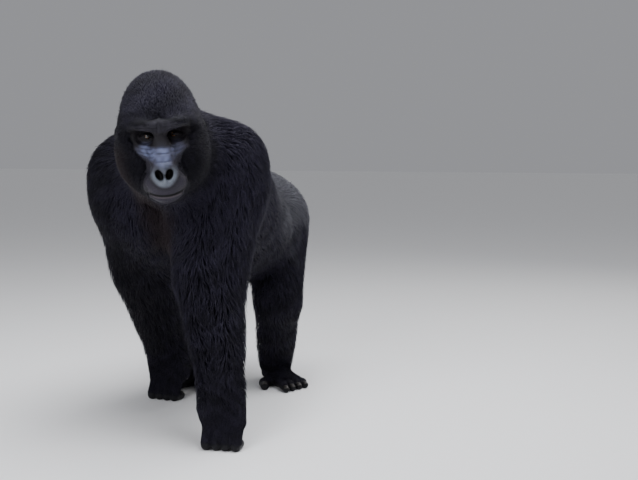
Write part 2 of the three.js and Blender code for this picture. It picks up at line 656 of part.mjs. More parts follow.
Object.keys(SIDES).forEach((side, sideIndex) => {
  const s = SIDES[side];
  const wrist = WRIST[side];
  const elbow = ELBOW[side];

  // Arm: cut at the elbow, the wrist and the knuckles, then between the fingers.
  const along = (from, to) => to.clone().sub(from).normalize();
  const upper = along(SHOULDER[side], elbow);
  const lower = along(elbow, wrist);
  const hand = handPlace(side);
  const elbowCut = cutPlane(elbow, upper.clone().add(lower));
  const wristCut = cutPlane(wrist, lower.clone().add(along(wrist, hand.row)));
  part(`upper_arm_${side}`, behind(roots[`arm_${side}`], elbowCut), coatLook);

  const arm = [...arms[sideIndex], ...handForms(side)];
  const armSkin = (forms, cell, region) => wrap((p) => depthIn(forms, p), region, cell);
  const forearmBox = new THREE.Box3().setFromPoints([elbow, wrist]).expandByScalar(130);
  const forearm = armSkin(arm, CELL_LIMB, forearmBox);
  part(`forearm_${side}`, behind(ahead(forearm, elbowCut), wristCut), coatLook);

  const handBox = aroundPoint(vec(hand.row.x, hand.row.y, 100), 260, 220, 260);
  const thumbCut = cutPlane(hand.at(-s * 57, 0, 0), vec(-s, 0, 0).transformDirection(hand.yaw));
  const knuckleCut = cutPlane(hand.row, vec(0, -0.45, -0.9).transformDirection(hand.yaw));
  const palm = ahead(armSkin(arm, CELL_PALM, handBox), wristCut);
  part(`hand_${side}`, behind(behind(palm, knuckleCut), thumbCut), skinLook);
  const thumb = ahead(armSkin(thumbForms(side), CELL_FINGER, handBox), wristCut);
  part(`thumb_${side}`, behind(ahead(thumb, thumbCut), knuckleCut), skinLook);

  const fingers = ahead(ahead(armSkin(arm, CELL_FINGER, handBox), knuckleCut), GROUND);
  for (let i = 0; i < FINGER_COUNT; i += 1) {
    const edge = (n) => cutPlane(
      hand.at((n - FINGER_COUNT / 2) * FINGER_PITCH, 0, 0),
      vec(1, 0, 0).transformDirection(hand.yaw),
    );
    let finger = fingers;
    if (i > 0) finger = ahead(finger, edge(i));
    if (i < FINGER_COUNT - 1) finger = behind(finger, edge(i + 1));
    const number = s > 0 ? i + 2 : FINGER_COUNT + 1 - i;
    part(`finger_${number}_${side}`, finger, skinLook);
  }

  // Leg: cut at the knee, the ankle and the roots of the toes, then between the toes.
  const thigh = along(HIP[side], KNEE[side]);
  const shank = along(KNEE[side], ANKLE[side]);
  const kneeCut = cutPlane(KNEE[side], thigh.clone().add(shank));
  const ankleCut = cutPlane(ANKLE[side], shank.clone().add(vec(0, 0, -1)));
  part(`thigh_${side}`, behind(roots[`leg_${side}`], kneeCut), coatLook);

  const legSkin = (forms, cell, region) => wrap((p) => depthIn(forms, p), region, cell);
  const shankBox = new THREE.Box3().setFromPoints([KNEE[side], ANKLE[side]]).expandByScalar(130);
  const allLeg = [...legs[sideIndex], ...footForms(side)];
  part(
    `lower_leg_${side}`,
    behind(ahead(legSkin(allLeg, CELL_LIMB, shankBox), kneeCut), ankleCut),
    coatLook,
  );

  const at = footPlace(side);
  const footBox = aroundPoint(at(0, -60, 60), 340, 400, 240);
  const footSkin = (cell) => ahead(ahead(legSkin(allLeg, cell, footBox), ankleCut), GROUND);
  const foot = footSkin(CELL_FOOT);
  const forefoot = footSkin(CELL_TOE);

  // The big toe is taken out by a wedge that runs beside the foot and across the toe's root.
  const wedge = (grow) => {
    const corner = at(-36 + grow, -72 + grow, 0);
    const outline = [corner, at(-58 + grow, -240, 0), at(-240, -240, 0), at(-240, 100 + grow, 0)];
    const shape = new THREE.Shape(outline.map((p) => new THREE.Vector2(p.x, p.y)));
    const lift = new THREE.Matrix4().makeTranslation(0, 0, -50);
    return solidFrom(new THREE.ExtrudeGeometry(shape, { depth: 200, bevelEnabled: false }), lift);
  };
  part(`toe_1_${side}`, forefoot.intersect(wedge(0)), skinLook);
  const toeCut = cutPlane(at(16, -128, 0), at(0, -1, 0).sub(at(0.25, 0, 0)).setZ(0));
  part(`foot_${side}`, behind(foot.subtract(wedge(GAP * 2)), toeCut), skinLook);
  const toes = ahead(forefoot.subtract(wedge(GAP * 2)), toeCut);
  for (let i = 0; i < TOE_COUNT; i += 1) {
    // A cut stands midway between two toes, from their roots to their tips.
    const edge = (n) => {
      const between = (place) => at(place(n - 0.5)[0], place(n - 0.5)[1], 0);
      const line = between(TOE_TIP).sub(between(TOE_ROOT));
      return cutPlane(between(TOE_ROOT), line.cross(Z_AXIS).multiplyScalar(-s));
    };
    let toe = toes;
    if (i > 0) toe = ahead(toe, edge(i));
    if (i < TOE_COUNT - 1) toe = behind(toe, edge(i + 1));
    part(`toe_${i + 2}_${side}`, toe, skinLook);
  }
});

// The origin is under the middle of the model, on the ground.
const extent = new THREE.Box3().setFromObject(gorilla);
const middle = extent.getCenter(vec(0, 0, 0));
gorilla.position.set(-middle.x, -middle.y, 0);

export default gorilla;
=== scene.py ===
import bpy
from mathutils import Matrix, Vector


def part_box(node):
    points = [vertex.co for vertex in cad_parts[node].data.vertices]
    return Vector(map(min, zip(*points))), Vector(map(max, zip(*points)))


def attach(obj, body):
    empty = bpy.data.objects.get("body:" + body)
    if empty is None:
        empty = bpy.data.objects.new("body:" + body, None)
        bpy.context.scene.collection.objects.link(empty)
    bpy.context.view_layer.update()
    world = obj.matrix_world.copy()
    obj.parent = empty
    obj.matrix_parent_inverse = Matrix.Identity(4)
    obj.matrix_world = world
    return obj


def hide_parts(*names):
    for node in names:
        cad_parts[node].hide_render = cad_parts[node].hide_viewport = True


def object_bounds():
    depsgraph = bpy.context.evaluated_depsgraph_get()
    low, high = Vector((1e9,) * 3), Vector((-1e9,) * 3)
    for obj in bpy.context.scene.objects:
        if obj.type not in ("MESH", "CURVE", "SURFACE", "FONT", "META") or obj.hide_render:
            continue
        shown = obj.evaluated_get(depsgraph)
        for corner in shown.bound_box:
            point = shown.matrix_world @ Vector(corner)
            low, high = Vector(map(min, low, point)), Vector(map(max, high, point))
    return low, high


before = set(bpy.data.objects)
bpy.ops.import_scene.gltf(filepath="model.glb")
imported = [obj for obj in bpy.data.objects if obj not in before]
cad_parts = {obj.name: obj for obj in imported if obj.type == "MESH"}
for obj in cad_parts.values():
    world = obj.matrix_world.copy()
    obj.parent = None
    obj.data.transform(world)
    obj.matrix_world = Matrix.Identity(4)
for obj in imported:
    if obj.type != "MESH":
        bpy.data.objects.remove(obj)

import copy
import math

import bmesh
import bpy
import numpy as np
from mathutils import Matrix, Vector

cad_box = [list(corner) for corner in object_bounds()]

# ---- Where the animal stands, and what it stands in ----
# A life-size model of a silverback on a pale studio floor, under a wide overhead light. Its places
# are in metres from a point on the ground between its feet. The middle of the eyes of the solid
# model says where that point is.


def turned(degrees, axis):
    """A turn about X, Y or Z as a 3 x 3 array."""
    return np.array(Matrix.Rotation(math.radians(degrees), 3, axis))


EYES = np.array((0.165, -0.7, 0.903))
HEAD_TURN = turned(27, "Z") @ turned(17, "X") @ turned(-5.5, "Y")
EYE_OUT = 0.0355
EYE_BACK = 0.004
eye_middle = np.mean([np.mean(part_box(f"eye_{side}"), 0) for side in ("left", "right")], 0)
ORIGIN = eye_middle - EYES - HEAD_TURN @ (0, EYE_BACK, 0)


def on_head(x, y, z):
    """A place on the head from the middle of the eyes: x to its left, y back, z up the face."""
    return EYES + HEAD_TURN @ (x, y, z)


def linked(made):
    """An object put into the scene."""
    bpy.context.scene.collection.objects.link(made)
    return made


VIEW_FROM, VIEW_YAW, VIEW_DROP = (1.474, -3.339, 0.88), math.radians(18), math.radians(5.13)
FILM_WIDTH, FOCAL_LENGTH = 36, 60.4
lens = bpy.data.cameras.new("view")
lens.sensor_width = FILM_WIDTH
lens.lens = FOCAL_LENGTH
camera = linked(bpy.data.objects.new("view", lens))
camera.location = ORIGIN + VIEW_FROM
camera.rotation_euler = (math.pi / 2 - VIEW_DROP, 0, VIEW_YAW)
bpy.context.scene.camera = camera


class Wire:
    """An output socket of a material's node. Arithmetic on its numbers adds Math nodes."""

    def __init__(self, finish, socket):
        self.finish = finish
        self.socket = socket

    def math(self, operation, *values):
        return self.finish.node("Math", {"operation": operation}, dict(enumerate(values)))

    def __add__(self, other):
        return self.math("ADD", self, other)

    def __mul__(self, other):
        return self.math("MULTIPLY", self, other)

    def __sub__(self, other):
        return self.math("SUBTRACT", self, other)

    def __rsub__(self, other):
        return self.math("SUBTRACT", other, self)

    __radd__ = __add__
    __rmul__ = __mul__


class Finish:
    """One procedural material: node() adds a node, and paint() joins the shader to the output."""

    def __init__(self, name):
        self.material = bpy.data.materials.new(name)
        self.material.use_nodes = True
        self.tree = self.material.node_tree
        self.tree.nodes.clear()

    def node(self, kind, settings=None, sockets=None, output=0):
        """A node of this kind, with its settings made first, then its socket values or links."""
        made = self.tree.nodes.new("ShaderNode" + kind)
        for name, value in (settings or {}).items():
            if name == "stops":
                ramp = made.color_ramp.elements
                ramp[0].position, ramp[0].color = value[0][0], (*value[0][1], 1)
                ramp[1].position, ramp[1].color = value[-1][0], (*value[-1][1], 1)
                for place, colour in value[1:-1]:
                    ramp.new(place).color = (*colour, 1)
            else:
                setattr(made, name, value)
        for name, value in (sockets or {}).items():
            if isinstance(value, Wire):
                self.tree.links.new(value.socket, made.inputs[name])
            else:
                made.inputs[name].default_value = value
        return Wire(self, made.outputs[output]) if made.outputs else None

    def number(self, name):
        """A number stored on the piece's vertices."""
        return self.node("Attribute", {"attribute_name": name}, output="Fac")

    def mixed(self, share, first, second):
        """A colour between two, each a wire or three numbers."""
        ends = [c if isinstance(c, Wire) else (*c, 1) for c in (first, second)]
        return self.node("Mix", {"data_type": "RGBA"}, {0: share, 6: ends[0], 7: ends[1]}, output=2)

    def paint(self, **sockets):
        """Joins a Principled shader with these sockets (_ for a space) to the output."""
        named = {name.replace("_", " "): value for name, value in sockets.items()}
        shader = self.node("BsdfPrincipled", {}, named, output="BSDF")
        self.node("OutputMaterial", {}, {"Surface": shader})
        return self.material


FLOOR_HALF = 30
floor_mesh = bpy.data.meshes.new("floor")
floor_mesh.from_pydata([(x * FLOOR_HALF, y * FLOOR_HALF, 0)
                        for x, y in ((-1, -1), (1, -1), (1, 1), (-1, 1))], [], [(0, 1, 2, 3)])
floor_mesh.materials.append(Finish("floor").paint(Base_Color=(0.8, 0.8, 0.79, 1), Roughness=0.85))
floor = linked(bpy.data.objects.new("floor", floor_mesh))

CHEST = Vector((0, -0.2, 0.6))
COOL_LIGHT, WARM_LIGHT = (0.94, 0.95, 1.0), (1.0, 0.98, 0.95)


def light(name, kind, power, colour):
    """A light with no place yet."""
    made = linked(bpy.data.objects.new(name, bpy.data.lights.new(name, kind)))
    made.data.energy = power
    made.data.color = colour
    return made


for name, at, size, power, colour in (
    ("canopy", (0.7, -0.3, 3.4), 2.4, 170, COOL_LIGHT),
    ("front_fill", (-0.3, -3.8, 2.4), 1.8, 105, COOL_LIGHT),
    ("back_edge", (1.6, 3.2, 2.6), 1.8, 25, WARM_LIGHT),
):
    lamp = light(name, "AREA", power, colour)
    lamp.data.shape = "SQUARE"
    lamp.data.size = size
    lamp.location = at
    lamp.rotation_euler = (CHEST - Vector(at)).to_track_quat("-Z", "Y").to_euler()
sky = light("sky", "SUN", 0.35, COOL_LIGHT)
sky.data.angle = math.radians(60)
sky.rotation_euler = (math.radians(-12), math.radians(8), 0)
world = bpy.data.worlds.new("studio")
world.use_nodes = True
backdrop = world.node_tree.nodes["Background"].inputs
backdrop[0].default_value = (0.82, 0.83, 0.88, 1)
backdrop[1].default_value = 0.38
bpy.context.scene.world = world

# ---- Forms of the body ----
# The body is made of rounded forms that melt into each other: ribs, belly, muscles and the bones
# under the skin. Each has the depth of the hair over it, so the same forms give the skin (no coat)
# and any level within the hair up to its outside (the whole coat), which the solid model has.

SIDES = {"left": 1, "right": -1}
FAR = 0.5
REACH = 0.06


class Ball:
    """An ellipsoid with a coat of hair."""

    def __init__(self, at, radii, melt=0.03, coat=0.0, turn=None, cut=False):
        self.at = np.array(at, float)
        self.radii = np.array(radii, float)
        self.turn = np.eye(3) if turn is None else turn
        self.melt, self.coat, self.cut = melt, coat, cut

    def moved(self, turn, at):
        self.at = turn @ self.at + at
        self.turn = turn @ self.turn
        return self

    def reach(self):
        return self.at, self.radii.max() + self.coat

    def depth(self, points, share):
        radii = self.radii + share[:, None] * self.coat
        own = (points - self.at) @ self.turn
        scale = np.sqrt(((own / radii) ** 2).sum(1)) + 1e-9
        slope = np.sqrt(((own / radii**2) ** 2).sum(1)) + 1e-9
        return scale * (scale - 1) / slope


def beside(points, a, b):
    """Share of the way from a to b at which each point lies, and its distance from that line."""
    line = b - a
    along = np.clip(((points - a) @ line) / (line @ line), 0, 1)
    return along, np.sqrt(((points - a - along[:, None] * line) ** 2).sum(1))


class Limb:
    """A round length from a to b that tapers and may swell at its middle."""

    cut = False

    def __init__(self, a, b, ra, rb, melt=0.03, coat=0.0, coat_end=None, belly=0.0):
        self.a, self.b = np.array(a, float), np.array(b, float)
        self.ra, self.rb, self.belly = ra, rb, belly
        self.coat, self.coat_end = coat, coat if coat_end is None else coat_end
        self.melt = melt

    def moved(self, turn, at):
        self.a = turn @ self.a + at
        self.b = turn @ self.b + at
        return self

    def reach(self):
        thick = max(self.ra, self.rb) + self.belly + max(self.coat, self.coat_end)
        return (self.a + self.b) / 2, np.linalg.norm(self.b - self.a) / 2 + thick

    def depth(self, points, share):
        along, away = beside(points, self.a, self.b)
        thick = self.ra + (self.rb - self.ra) * along + self.belly * 4 * along * (1 - along)
        return away - thick - share * (self.coat + (self.coat_end - self.coat) * along)


class Ridge:
    """A bead that follows a smooth curve through (x, y, z, radius) points in millimetres."""

    def __init__(self, points, melt=0.01, cut=False):
        ends = np.array(points, float) / 1000
        ends = np.vstack([2 * ends[0] - ends[1], ends, 2 * ends[-1] - ends[-2]])
        line = []
        for a, b, c, d in zip(ends, ends[1:], ends[2:], ends[3:]):
            for t in (0, 0.25, 0.5, 0.75):
                bend = (2 * a - 5 * b + 4 * c - d) * t**2 + (3 * b - 3 * c + d - a) * t**3
                line.append(0.5 * (2 * b + (c - a) * t + bend))
        line.append(ends[-2])
        self.line = np.array(line)[:, :3]
        self.thick = np.array(line)[:, 3]
        self.melt, self.cut = melt, cut

    def moved(self, turn, at):
        self.line = self.line @ turn.T + at
        return self

    def reach(self):
        middle = (self.line.min(0) + self.line.max(0)) / 2
        return middle, np.linalg.norm(self.line - middle, axis=1).max() + self.thick.max()

    def depth(self, points, share):
        least = np.full(len(points), 9.0)
        for a, b, ra, rb in zip(self.line, self.line[1:], self.thick, self.thick[1:]):
            along, away = beside(points, a, b)
            least = np.minimum(least, away - ra - (rb - ra) * along)
        return least


def melt_min(a, b, width):
    """The lesser of two depths, rounded over a width where they are close."""
    near = np.maximum(width - np.abs(a - b), 0) / width
    return np.minimum(a, b) - near * near * width / 4


def depth_in(forms, points, share):
    """Depth of points in forms that melt together: negative inside."""
    depth = np.full(len(points), FAR)
    low, high = points.min(0), points.max(0)
    for form in forms:
        middle, reach = form.reach()
        reach += REACH + form.melt
        if (middle + reach < low).any() or (middle - reach > high).any():
            continue
        near = np.flatnonzero(((points - middle) ** 2).sum(1) < reach**2)
        if not len(near):
            continue
        own = form.depth(points[near], share[near])
        if form.cut:
            depth[near] = -melt_min(-depth[near], own, form.melt)
        else:
            depth[near] = melt_min(depth[near], own, form.melt)
    return depth


MIRROR = np.diag((-1, 1, 1))


def both(forms):
    """Forms of the animal's left side, then the same on its right."""
    return [*forms, *(copy.deepcopy(form).moved(MIRROR, 0) for form in forms)]


SKULL_COAT, TRUNK_COAT, ARM_COAT, FOREARM_COAT, WRIST_COAT = 0.013, 0.018, 0.024, 0.032, 0.024
HAND_COAT, FOOT_COAT, SHANK_COAT = 0.012, 0.004, 0.024

skull_forms = [
    Ball((0, 0.085, 0.02), (0.098, 0.112, 0.092), coat=SKULL_COAT),
    Ball((0, 0.11, 0.058), (0.07, 0.092, 0.072), 0.04, SKULL_COAT),
    *both([
        Limb((0.074, 0.03, 0), (0.078, 0.1, -0.025), 0.028, 0.032, coat=SKULL_COAT),
        Ball((0.062, 0.066, -0.08), (0.042, 0.062, 0.07), 0.05, 0.012),
        Ball((0.06, 0.022, -0.036), (0.034, 0.042, 0.024), 0.02, 0.002),
    ]),
    Ball((0, -0.008, -0.052), (0.046, 0.06, 0.046)),
    Ball((0, -0.024, -0.116), (0.058, 0.068, 0.036), turn=turned(6, "X")),
    Ball((0, -0.015, -0.153), (0.05, 0.064, 0.034), 0.025, 0.002),
    Ball((0, 0.045, -0.135), (0.055, 0.065, 0.045), 0.04, 0.012),
    Ball((0, 0.026, 0.052), (0.084, 0.046, 0.03), 0.03, 0.006),
]
brow_forms = both([
    Ridge([
        (0, -24.5, 36, 17.5), (22, -29, 40, 18.5), (46, -25, 43, 19), (70, -7, 39, 18),
        (89, 16, 22, 15), (99, 40, -6, 12),
    ], 0.014),
])
nose_forms = [
    Ball((0, -0.065, -0.085), (0.031, 0.02, 0.03), 0.016),
    *both([
        Limb((0.007, -0.016, 0.022), (0.013, -0.056, -0.05), 0.012, 0.018, 0.016),
        Ridge([
            (0, -78.5, -63, 5.8), (10, -79.5, -59.5, 6.4), (21, -76, -65, 6.6),
            (26.2, -74, -79.5, 6.4), (23.8, -76, -95, 6.2), (13, -81, -107, 6), (0, -83, -111, 5.4),
        ], 0.01),
        Ridge([
            (30, -62, -92, 6), (43, -54, -112, 7), (53, -36, -134, 7),
        ], 0.02),
    ]),
    Limb((0, -0.084, -0.069), (0, -0.088, -0.103), 0.005, 0.0038, 0.007),
]
eye_forms = both([
    Ball((0.04, -0.014, 0.003), (0.033, 0.024, 0.0155), 0.01, cut=True),
    Ball((EYE_OUT, 0.009, 0.0005), (0.0158, 0.0155, 0.0158), 0.006),
    Ridge([
        (18, -5, -3, 2.6), (27, -8, 2.8, 4), (36, -9, 4.4, 4.4), (46, -4, 2.6, 4), (55, 3, -2, 2.6),
    ], 0.005),
    Ridge([
        (18, -5, -3, 2.4), (27, -7, -7.8, 2.8), (36, -7.2, -9.2, 3), (46, -3, -7.2, 2.8),
        (55, 3, -2, 2.4),
    ], 0.006),
    Ridge([
        (24, -49.5, -14.5, 1.8), (34, -31, -19.5, 2.8), (46, -21.2, -20.5, 3.2),
        (58, -14.2, -18.5, 3), (68, -8, -12, 1.8),
    ], 0.007),
    Ridge([
        (30, -50, -27, 1.8), (38, -34, -30.5, 2.8), (49, -25, -30, 3), (60, -18.8, -24.5, 2.6),
        (67, -15, -20, 1.6),
    ], 0.007),
    Ridge([
        (32, -55, -38, 1.6), (40, -36.5, -41, 2.6), (50, -26.5, -39.5, 2.8),
        (60, -21.5, -34.5, 1.8),
    ], 0.007),
])
crease_forms = [
    *both([
        Ridge([
            (4, -45.8, 45, 0.8), (5.5, -46.8, 36, 1.6), (6.5, -42.8, 23, 1.5), (9, -41.2, 13, 0.8),
        ], 0.004, cut=True),
        Ridge([
            (5, -45.8, 30, 0.8), (20, -46.2, 32.5, 1.4), (46, -43.2, 34.5, 1.6), (70, -29, 31, 0.8),
        ], 0.005, cut=True),
        Ridge([
            (30, -46.6, 44, 0.6), (48, -44, 45.5, 1.4), (66, -34.5, 42.5, 0.6),
        ], 0.005, cut=True),
    ]),
    *[Ridge([
        (-width, depth + 5.2, height + 3, 0.6),
        (-0.45 * width, depth + 0.6, height, 1.2),
        (0.1 * width, depth, height - 1, 1.3),
        (0.55 * width, depth + 0.8, height, 1.2),
        (width, depth + 5.2, height + 2, 0.6),
    ], 0.004, cut=True) for width, depth, height in (
        (21, -60, -17), (23, -69, -31), (24, -80.2, -50.5))],
]
opening_forms = [
    *both([
        Ball((0.0135, -0.091, -0.0855), (0.0108, 0.025, 0.0162), 0.004,
             turn=turned(22, "Y"), cut=True),
    ]),
    Ridge([
        (-53, -57, -140, 1.2), (-46, -65, -141, 2), (-36, -74.2, -142.2, 2.4),
        (-20, -84.5, -143.6, 2.6), (0, -88.8, -144.2, 2.6), (20, -84.5, -143.6, 2.6),
        (36, -74.2, -142.2, 2.4), (46, -65, -141, 2), (53, -57, -140, 1.2),
    ], 0.003, cut=True),
    Ridge([
        (-42, -60, -149.5, 2.6), (-22, -74, -152, 4.4), (0, -79.5, -152.8, 4.8),
        (22, -74, -152, 4.4), (42, -60, -149.5, 2.6),
    ], 0.012),
]
head_forms = [
    form.moved(HEAD_TURN, EYES)
    for form in [*skull_forms, *brow_forms, *nose_forms, *eye_forms, *crease_forms,
                 *opening_forms]
]

trunk_forms = [
    Ball((0, -0.115, 0.665), (0.2, 0.262, 0.195), 0.08, TRUNK_COAT, turned(-8, "X")),
    Ball((0, -0.25, 0.78), (0.2, 0.17, 0.13), 0.08, TRUNK_COAT, turned(-10, "X")),
    Ball((0, 0.07, 0.595), (0.235, 0.27, 0.18), 0.08, TRUNK_COAT, turned(-6, "X")),
    Ball((0, 0.31, 0.63), (0.16, 0.155, 0.145), 0.08, TRUNK_COAT),
    Limb((0, -0.22, 0.79), (0, 0.32, 0.675), 0.1, 0.09, 0.08, TRUNK_COAT),
    *both([
        Ball((0.1, -0.3, 0.69), (0.1, 0.1, 0.12), 0.05, TRUNK_COAT),
        Ball((0.16, -0.14, 0.705), (0.09, 0.165, 0.135), 0.08, TRUNK_COAT,
             turned(-12, "X")),
        Ball((0.09, 0.36, 0.6), (0.098, 0.115, 0.125), 0.07, TRUNK_COAT),
    ]),
    Limb((0.01, -0.26, 0.77), on_head(0, 0.1, -0.07), 0.135, 0.112, 0.06, TRUNK_COAT),
    Limb((0, -0.22, 0.82), on_head(0, 0.165, 0.04), 0.115, 0.078, 0.06, TRUNK_COAT),
    Ridge([
        (20, -440, 800, 20), (16, -425, 720, 22), (14, -412, 640, 22), (18, -400, 560, 20),
    ], 0.04, cut=True),
]

SHOULDER = {"left": (0.198, -0.3, 0.825), "right": (-0.19, -0.235, 0.788)}
ELBOW = {"left": (0.156, -0.365, 0.47), "right": (-0.18, -0.125, 0.455)}
WRIST = {"left": (0.25, -0.5, 0.178), "right": (-0.182, 0.01, 0.178)}
HAND_TURN = {"left": turned(6, "Z"), "right": turned(-5, "Z")}
HAND_SHIFT = {"left": 0.02, "right": 0.026}
KNUCKLE_HEIGHT = 0.078
FINGER_PITCH = 0.029


def at_side(side, *places):
    """The given places of one side."""
    return (np.array(place[side]) for place in places)


def by_knuckles(side, x, y, z):
    """A place on a hand: x to the animal's left, y back, z up from the middle of its knuckles."""
    wrist = np.array(WRIST[side])
    row = HAND_TURN[side] @ (HAND_SHIFT[side], 0, 0) + (wrist[0], wrist[1] - 0.03, KNUCKLE_HEIGHT)
    return row + HAND_TURN[side] @ (x, y, z)


def thumb(side):
    """Bend and tip of a thumb."""
    s = SIDES[side]
    return by_knuckles(side, -s * 0.066, 0.018, 0.032), by_knuckles(side, -s * 0.064, 0.012, 0.004)


def arm_forms(side):
    """Shoulder, arm, palm, thumb, and four fingers folded to stand on their middle joints."""
    s = SIDES[side]
    shoulder, elbow, wrist = at_side(side, SHOULDER, ELBOW, WRIST)
    hand = HAND_TURN[side]
    forms = [
        Ball(shoulder + (s * 0.005, 0, -0.02), (0.09, 0.105, 0.115), 0.06, TRUNK_COAT),
        Limb(shoulder, elbow, 0.094, 0.08, 0.05, TRUNK_COAT, ARM_COAT, 0.008),
        Limb((s * 0.105, -0.305, 0.66), shoulder * 0.1 + elbow * 0.9, 0.096, 0.082, 0.05,
             TRUNK_COAT, ARM_COAT),
        Limb(shoulder + (0, 0.045, -0.08), elbow + (0, 0.036, 0.05), 0.082, 0.07, 0.05,
             TRUNK_COAT, ARM_COAT),
        Limb(shoulder + (-s * 0.07, -0.02, 0.03), shoulder + (0, -0.01, -0.1),
             0.085, 0.08, 0.06, TRUNK_COAT),
        Limb(elbow, wrist, 0.074, 0.045, 0.04, FOREARM_COAT, WRIST_COAT, 0.006),
    ]
    if side == "left":
        top, end = elbow + (0, 0.024, -0.03), elbow * 0.3 + wrist * 0.7 + (0, 0.014, 0)
        forms.append(Limb(top, end, 0.062, 0.044, 0.04, FOREARM_COAT, WRIST_COAT))
    for i in range(4):
        x = (i - 1.5) * FINGER_PITCH
        knuckle = by_knuckles(side, x, 0, 0)
        bend = by_knuckles(side, x, -0.03, 0.015 - KNUCKLE_HEIGHT)
        fold = by_knuckles(side, x, 0.014, 0.012 - KNUCKLE_HEIGHT)
        palm = wrist + hand @ (x * 0.75, 0, -0.005)
        forms += [
            Limb(palm, knuckle, 0.027, 0.02, 0.02, HAND_COAT + 0.006, HAND_COAT / 2),
            Limb(knuckle, bend, 0.0155, 0.015, 0.006, 0.004, 0.002),
            Ball(bend + (0, 0.004, 0.004), (0.015, 0.0165, 0.0165), 0.006, 0.001),
            Limb(bend, fold, 0.015, 0.0135, 0.003, 0.001),
        ]
    bend, tip = thumb(side)
    return [
        *forms,
        Limb(wrist + hand @ (-s * 0.034, 0.004, -0.015), bend, 0.024, 0.016, 0.02, 0.008, 0.004),
        Limb(bend, tip, 0.0155, 0.012, 0.01, 0.002),
    ]


HIP = {"left": (0.11, 0.33, 0.605), "right": (-0.11, 0.32, 0.605)}
KNEE = {"left": (0.17, 0.2, 0.33), "right": (-0.178, 0.13, 0.325)}
ANKLE = {"left": (0.106, 0.345, 0.088), "right": (-0.15, 0.275, 0.088)}
FOOT_TURN = {"left": turned(38, "Z"), "right": turned(-14, "Z")}


def by_ankle(side, x, y, z):
    """A place on a foot: x outward and y back from the ankle, z up from the ground."""
    ankle = np.array(ANKLE[side])
    return FOOT_TURN[side] @ (SIDES[side] * x, y, z) + (ankle[0], ankle[1], 0)


def toe(side, i):
    """Root, bend and tip of one of the four small toes."""
    return (
        by_ankle(side, -0.02 + 0.024 * i, -0.12 + 0.006 * i, 0.02),
        by_ankle(side, -0.022 + 0.028 * i, -0.165 + 0.012 * i, 0.02 - 0.001 * i),
        by_ankle(side, -0.022 + 0.029 * i, -0.192 + 0.015 * i, 0.012),
    )


def big_toe(side):
    """Bend and tip of the toe that stands apart."""
    return by_ankle(side, -0.07, -0.088, 0.017), by_ankle(side, -0.08, -0.125, 0.014)


def leg_forms(side):
    """Thigh, lower leg, heel, arch and ball, four toes, and the big toe."""
    hip, knee, ankle = at_side(side, HIP, KNEE, ANKLE)
    heel, pad = by_ankle(side, 0, 0.045, 0.028), by_ankle(side, 0.005, -0.115, 0.024)
    forms = [
        Limb(hip, knee, 0.105, 0.068, 0.06, TRUNK_COAT, TRUNK_COAT, 0.006),
        Limb(knee, ankle, 0.06, 0.044, 0.04, TRUNK_COAT, SHANK_COAT, 0.006),
        Limb(ankle, heel, 0.036, 0.03, 0.03, 0.006),
        Limb(ankle - (0, 0, 0.01), pad, 0.036, 0.024, 0.03, FOOT_COAT + 0.002),
        Limb(heel, pad, 0.03, 0.026, 0.02, 0.002),
        Limb(by_ankle(side, -0.01, -0.09, 0.024), by_ankle(side, 0.04, -0.095, 0.02),
             0.026, 0.022, 0.02, 0.002),
    ]
    for i in range(4):
        root, bend, tip = toe(side, i)
        forms += [Limb(root, bend, 0.0155, 0.0138, 0.008, 0.001),
                  Ball(bend + (0, 0, 0.001), (0.0145, 0.0145, 0.0145), 0.006),
                  Limb(bend, tip, 0.013, 0.0125, 0.004)]
    bend, tip = big_toe(side)
    return [
        *forms,
        Limb(by_ankle(side, -0.02, -0.045, 0.022), bend, 0.02, 0.018, 0.02, 0.001),
        Limb(bend, tip, 0.0165, 0.015, 0.01),
    ]


CORE = [*trunk_forms, *head_forms]
LIMBS = {
    **{f"arm_{side}": arm_forms(side) for side in SIDES},
    **{f"leg_{side}": leg_forms(side) for side in SIDES},
}
LIMB_MELT = 0.06


def body_depth(points, share):
    """Depth in the whole body at this share of the coat. Limbs melt into the trunk alone."""
    share = np.broadcast_to(np.asarray(share, float), len(points))
    whole = core = depth_in(CORE, points, share)
    for forms in LIMBS.values():
        whole = np.minimum(whole, melt_min(core, depth_in(forms, points, share), LIMB_MELT))
    return whole


def body_slope(points, share, step=5e-4):
    """Depth, and how it changes along x, y and z."""
    depth = body_depth(points, share)
    change = [body_depth(points + step * axis, share) - depth for axis in np.eye(3)]
    return depth, np.stack(change, 1) / step


def drawn(points, share, most):
    """Points drawn to the surface at this share of the coat, and the slope where they were."""
    depth, slope = body_slope(points, share)
    steep = np.maximum((slope**2).sum(1), 0.05)
    return points - np.clip(depth / steep, -most, most)[:, None] * slope, slope


def settled(points):
    """Points drawn onto the skin, twice."""
    for _ in range(2):
        points = drawn(points, 0, 0.01)[0]
    return points


# ---- Skin ----
# Dark hide over the whole body, seen bare on the face, fingers, toes and soles. It is one closed
# surface, wrapped round the forms on an even grid and then drawn finer on the face, hands and
# feet, where folds, lids, lips and nostrils show.

SKIN_CELL = 0.01
ROUGH_CELLS = 4


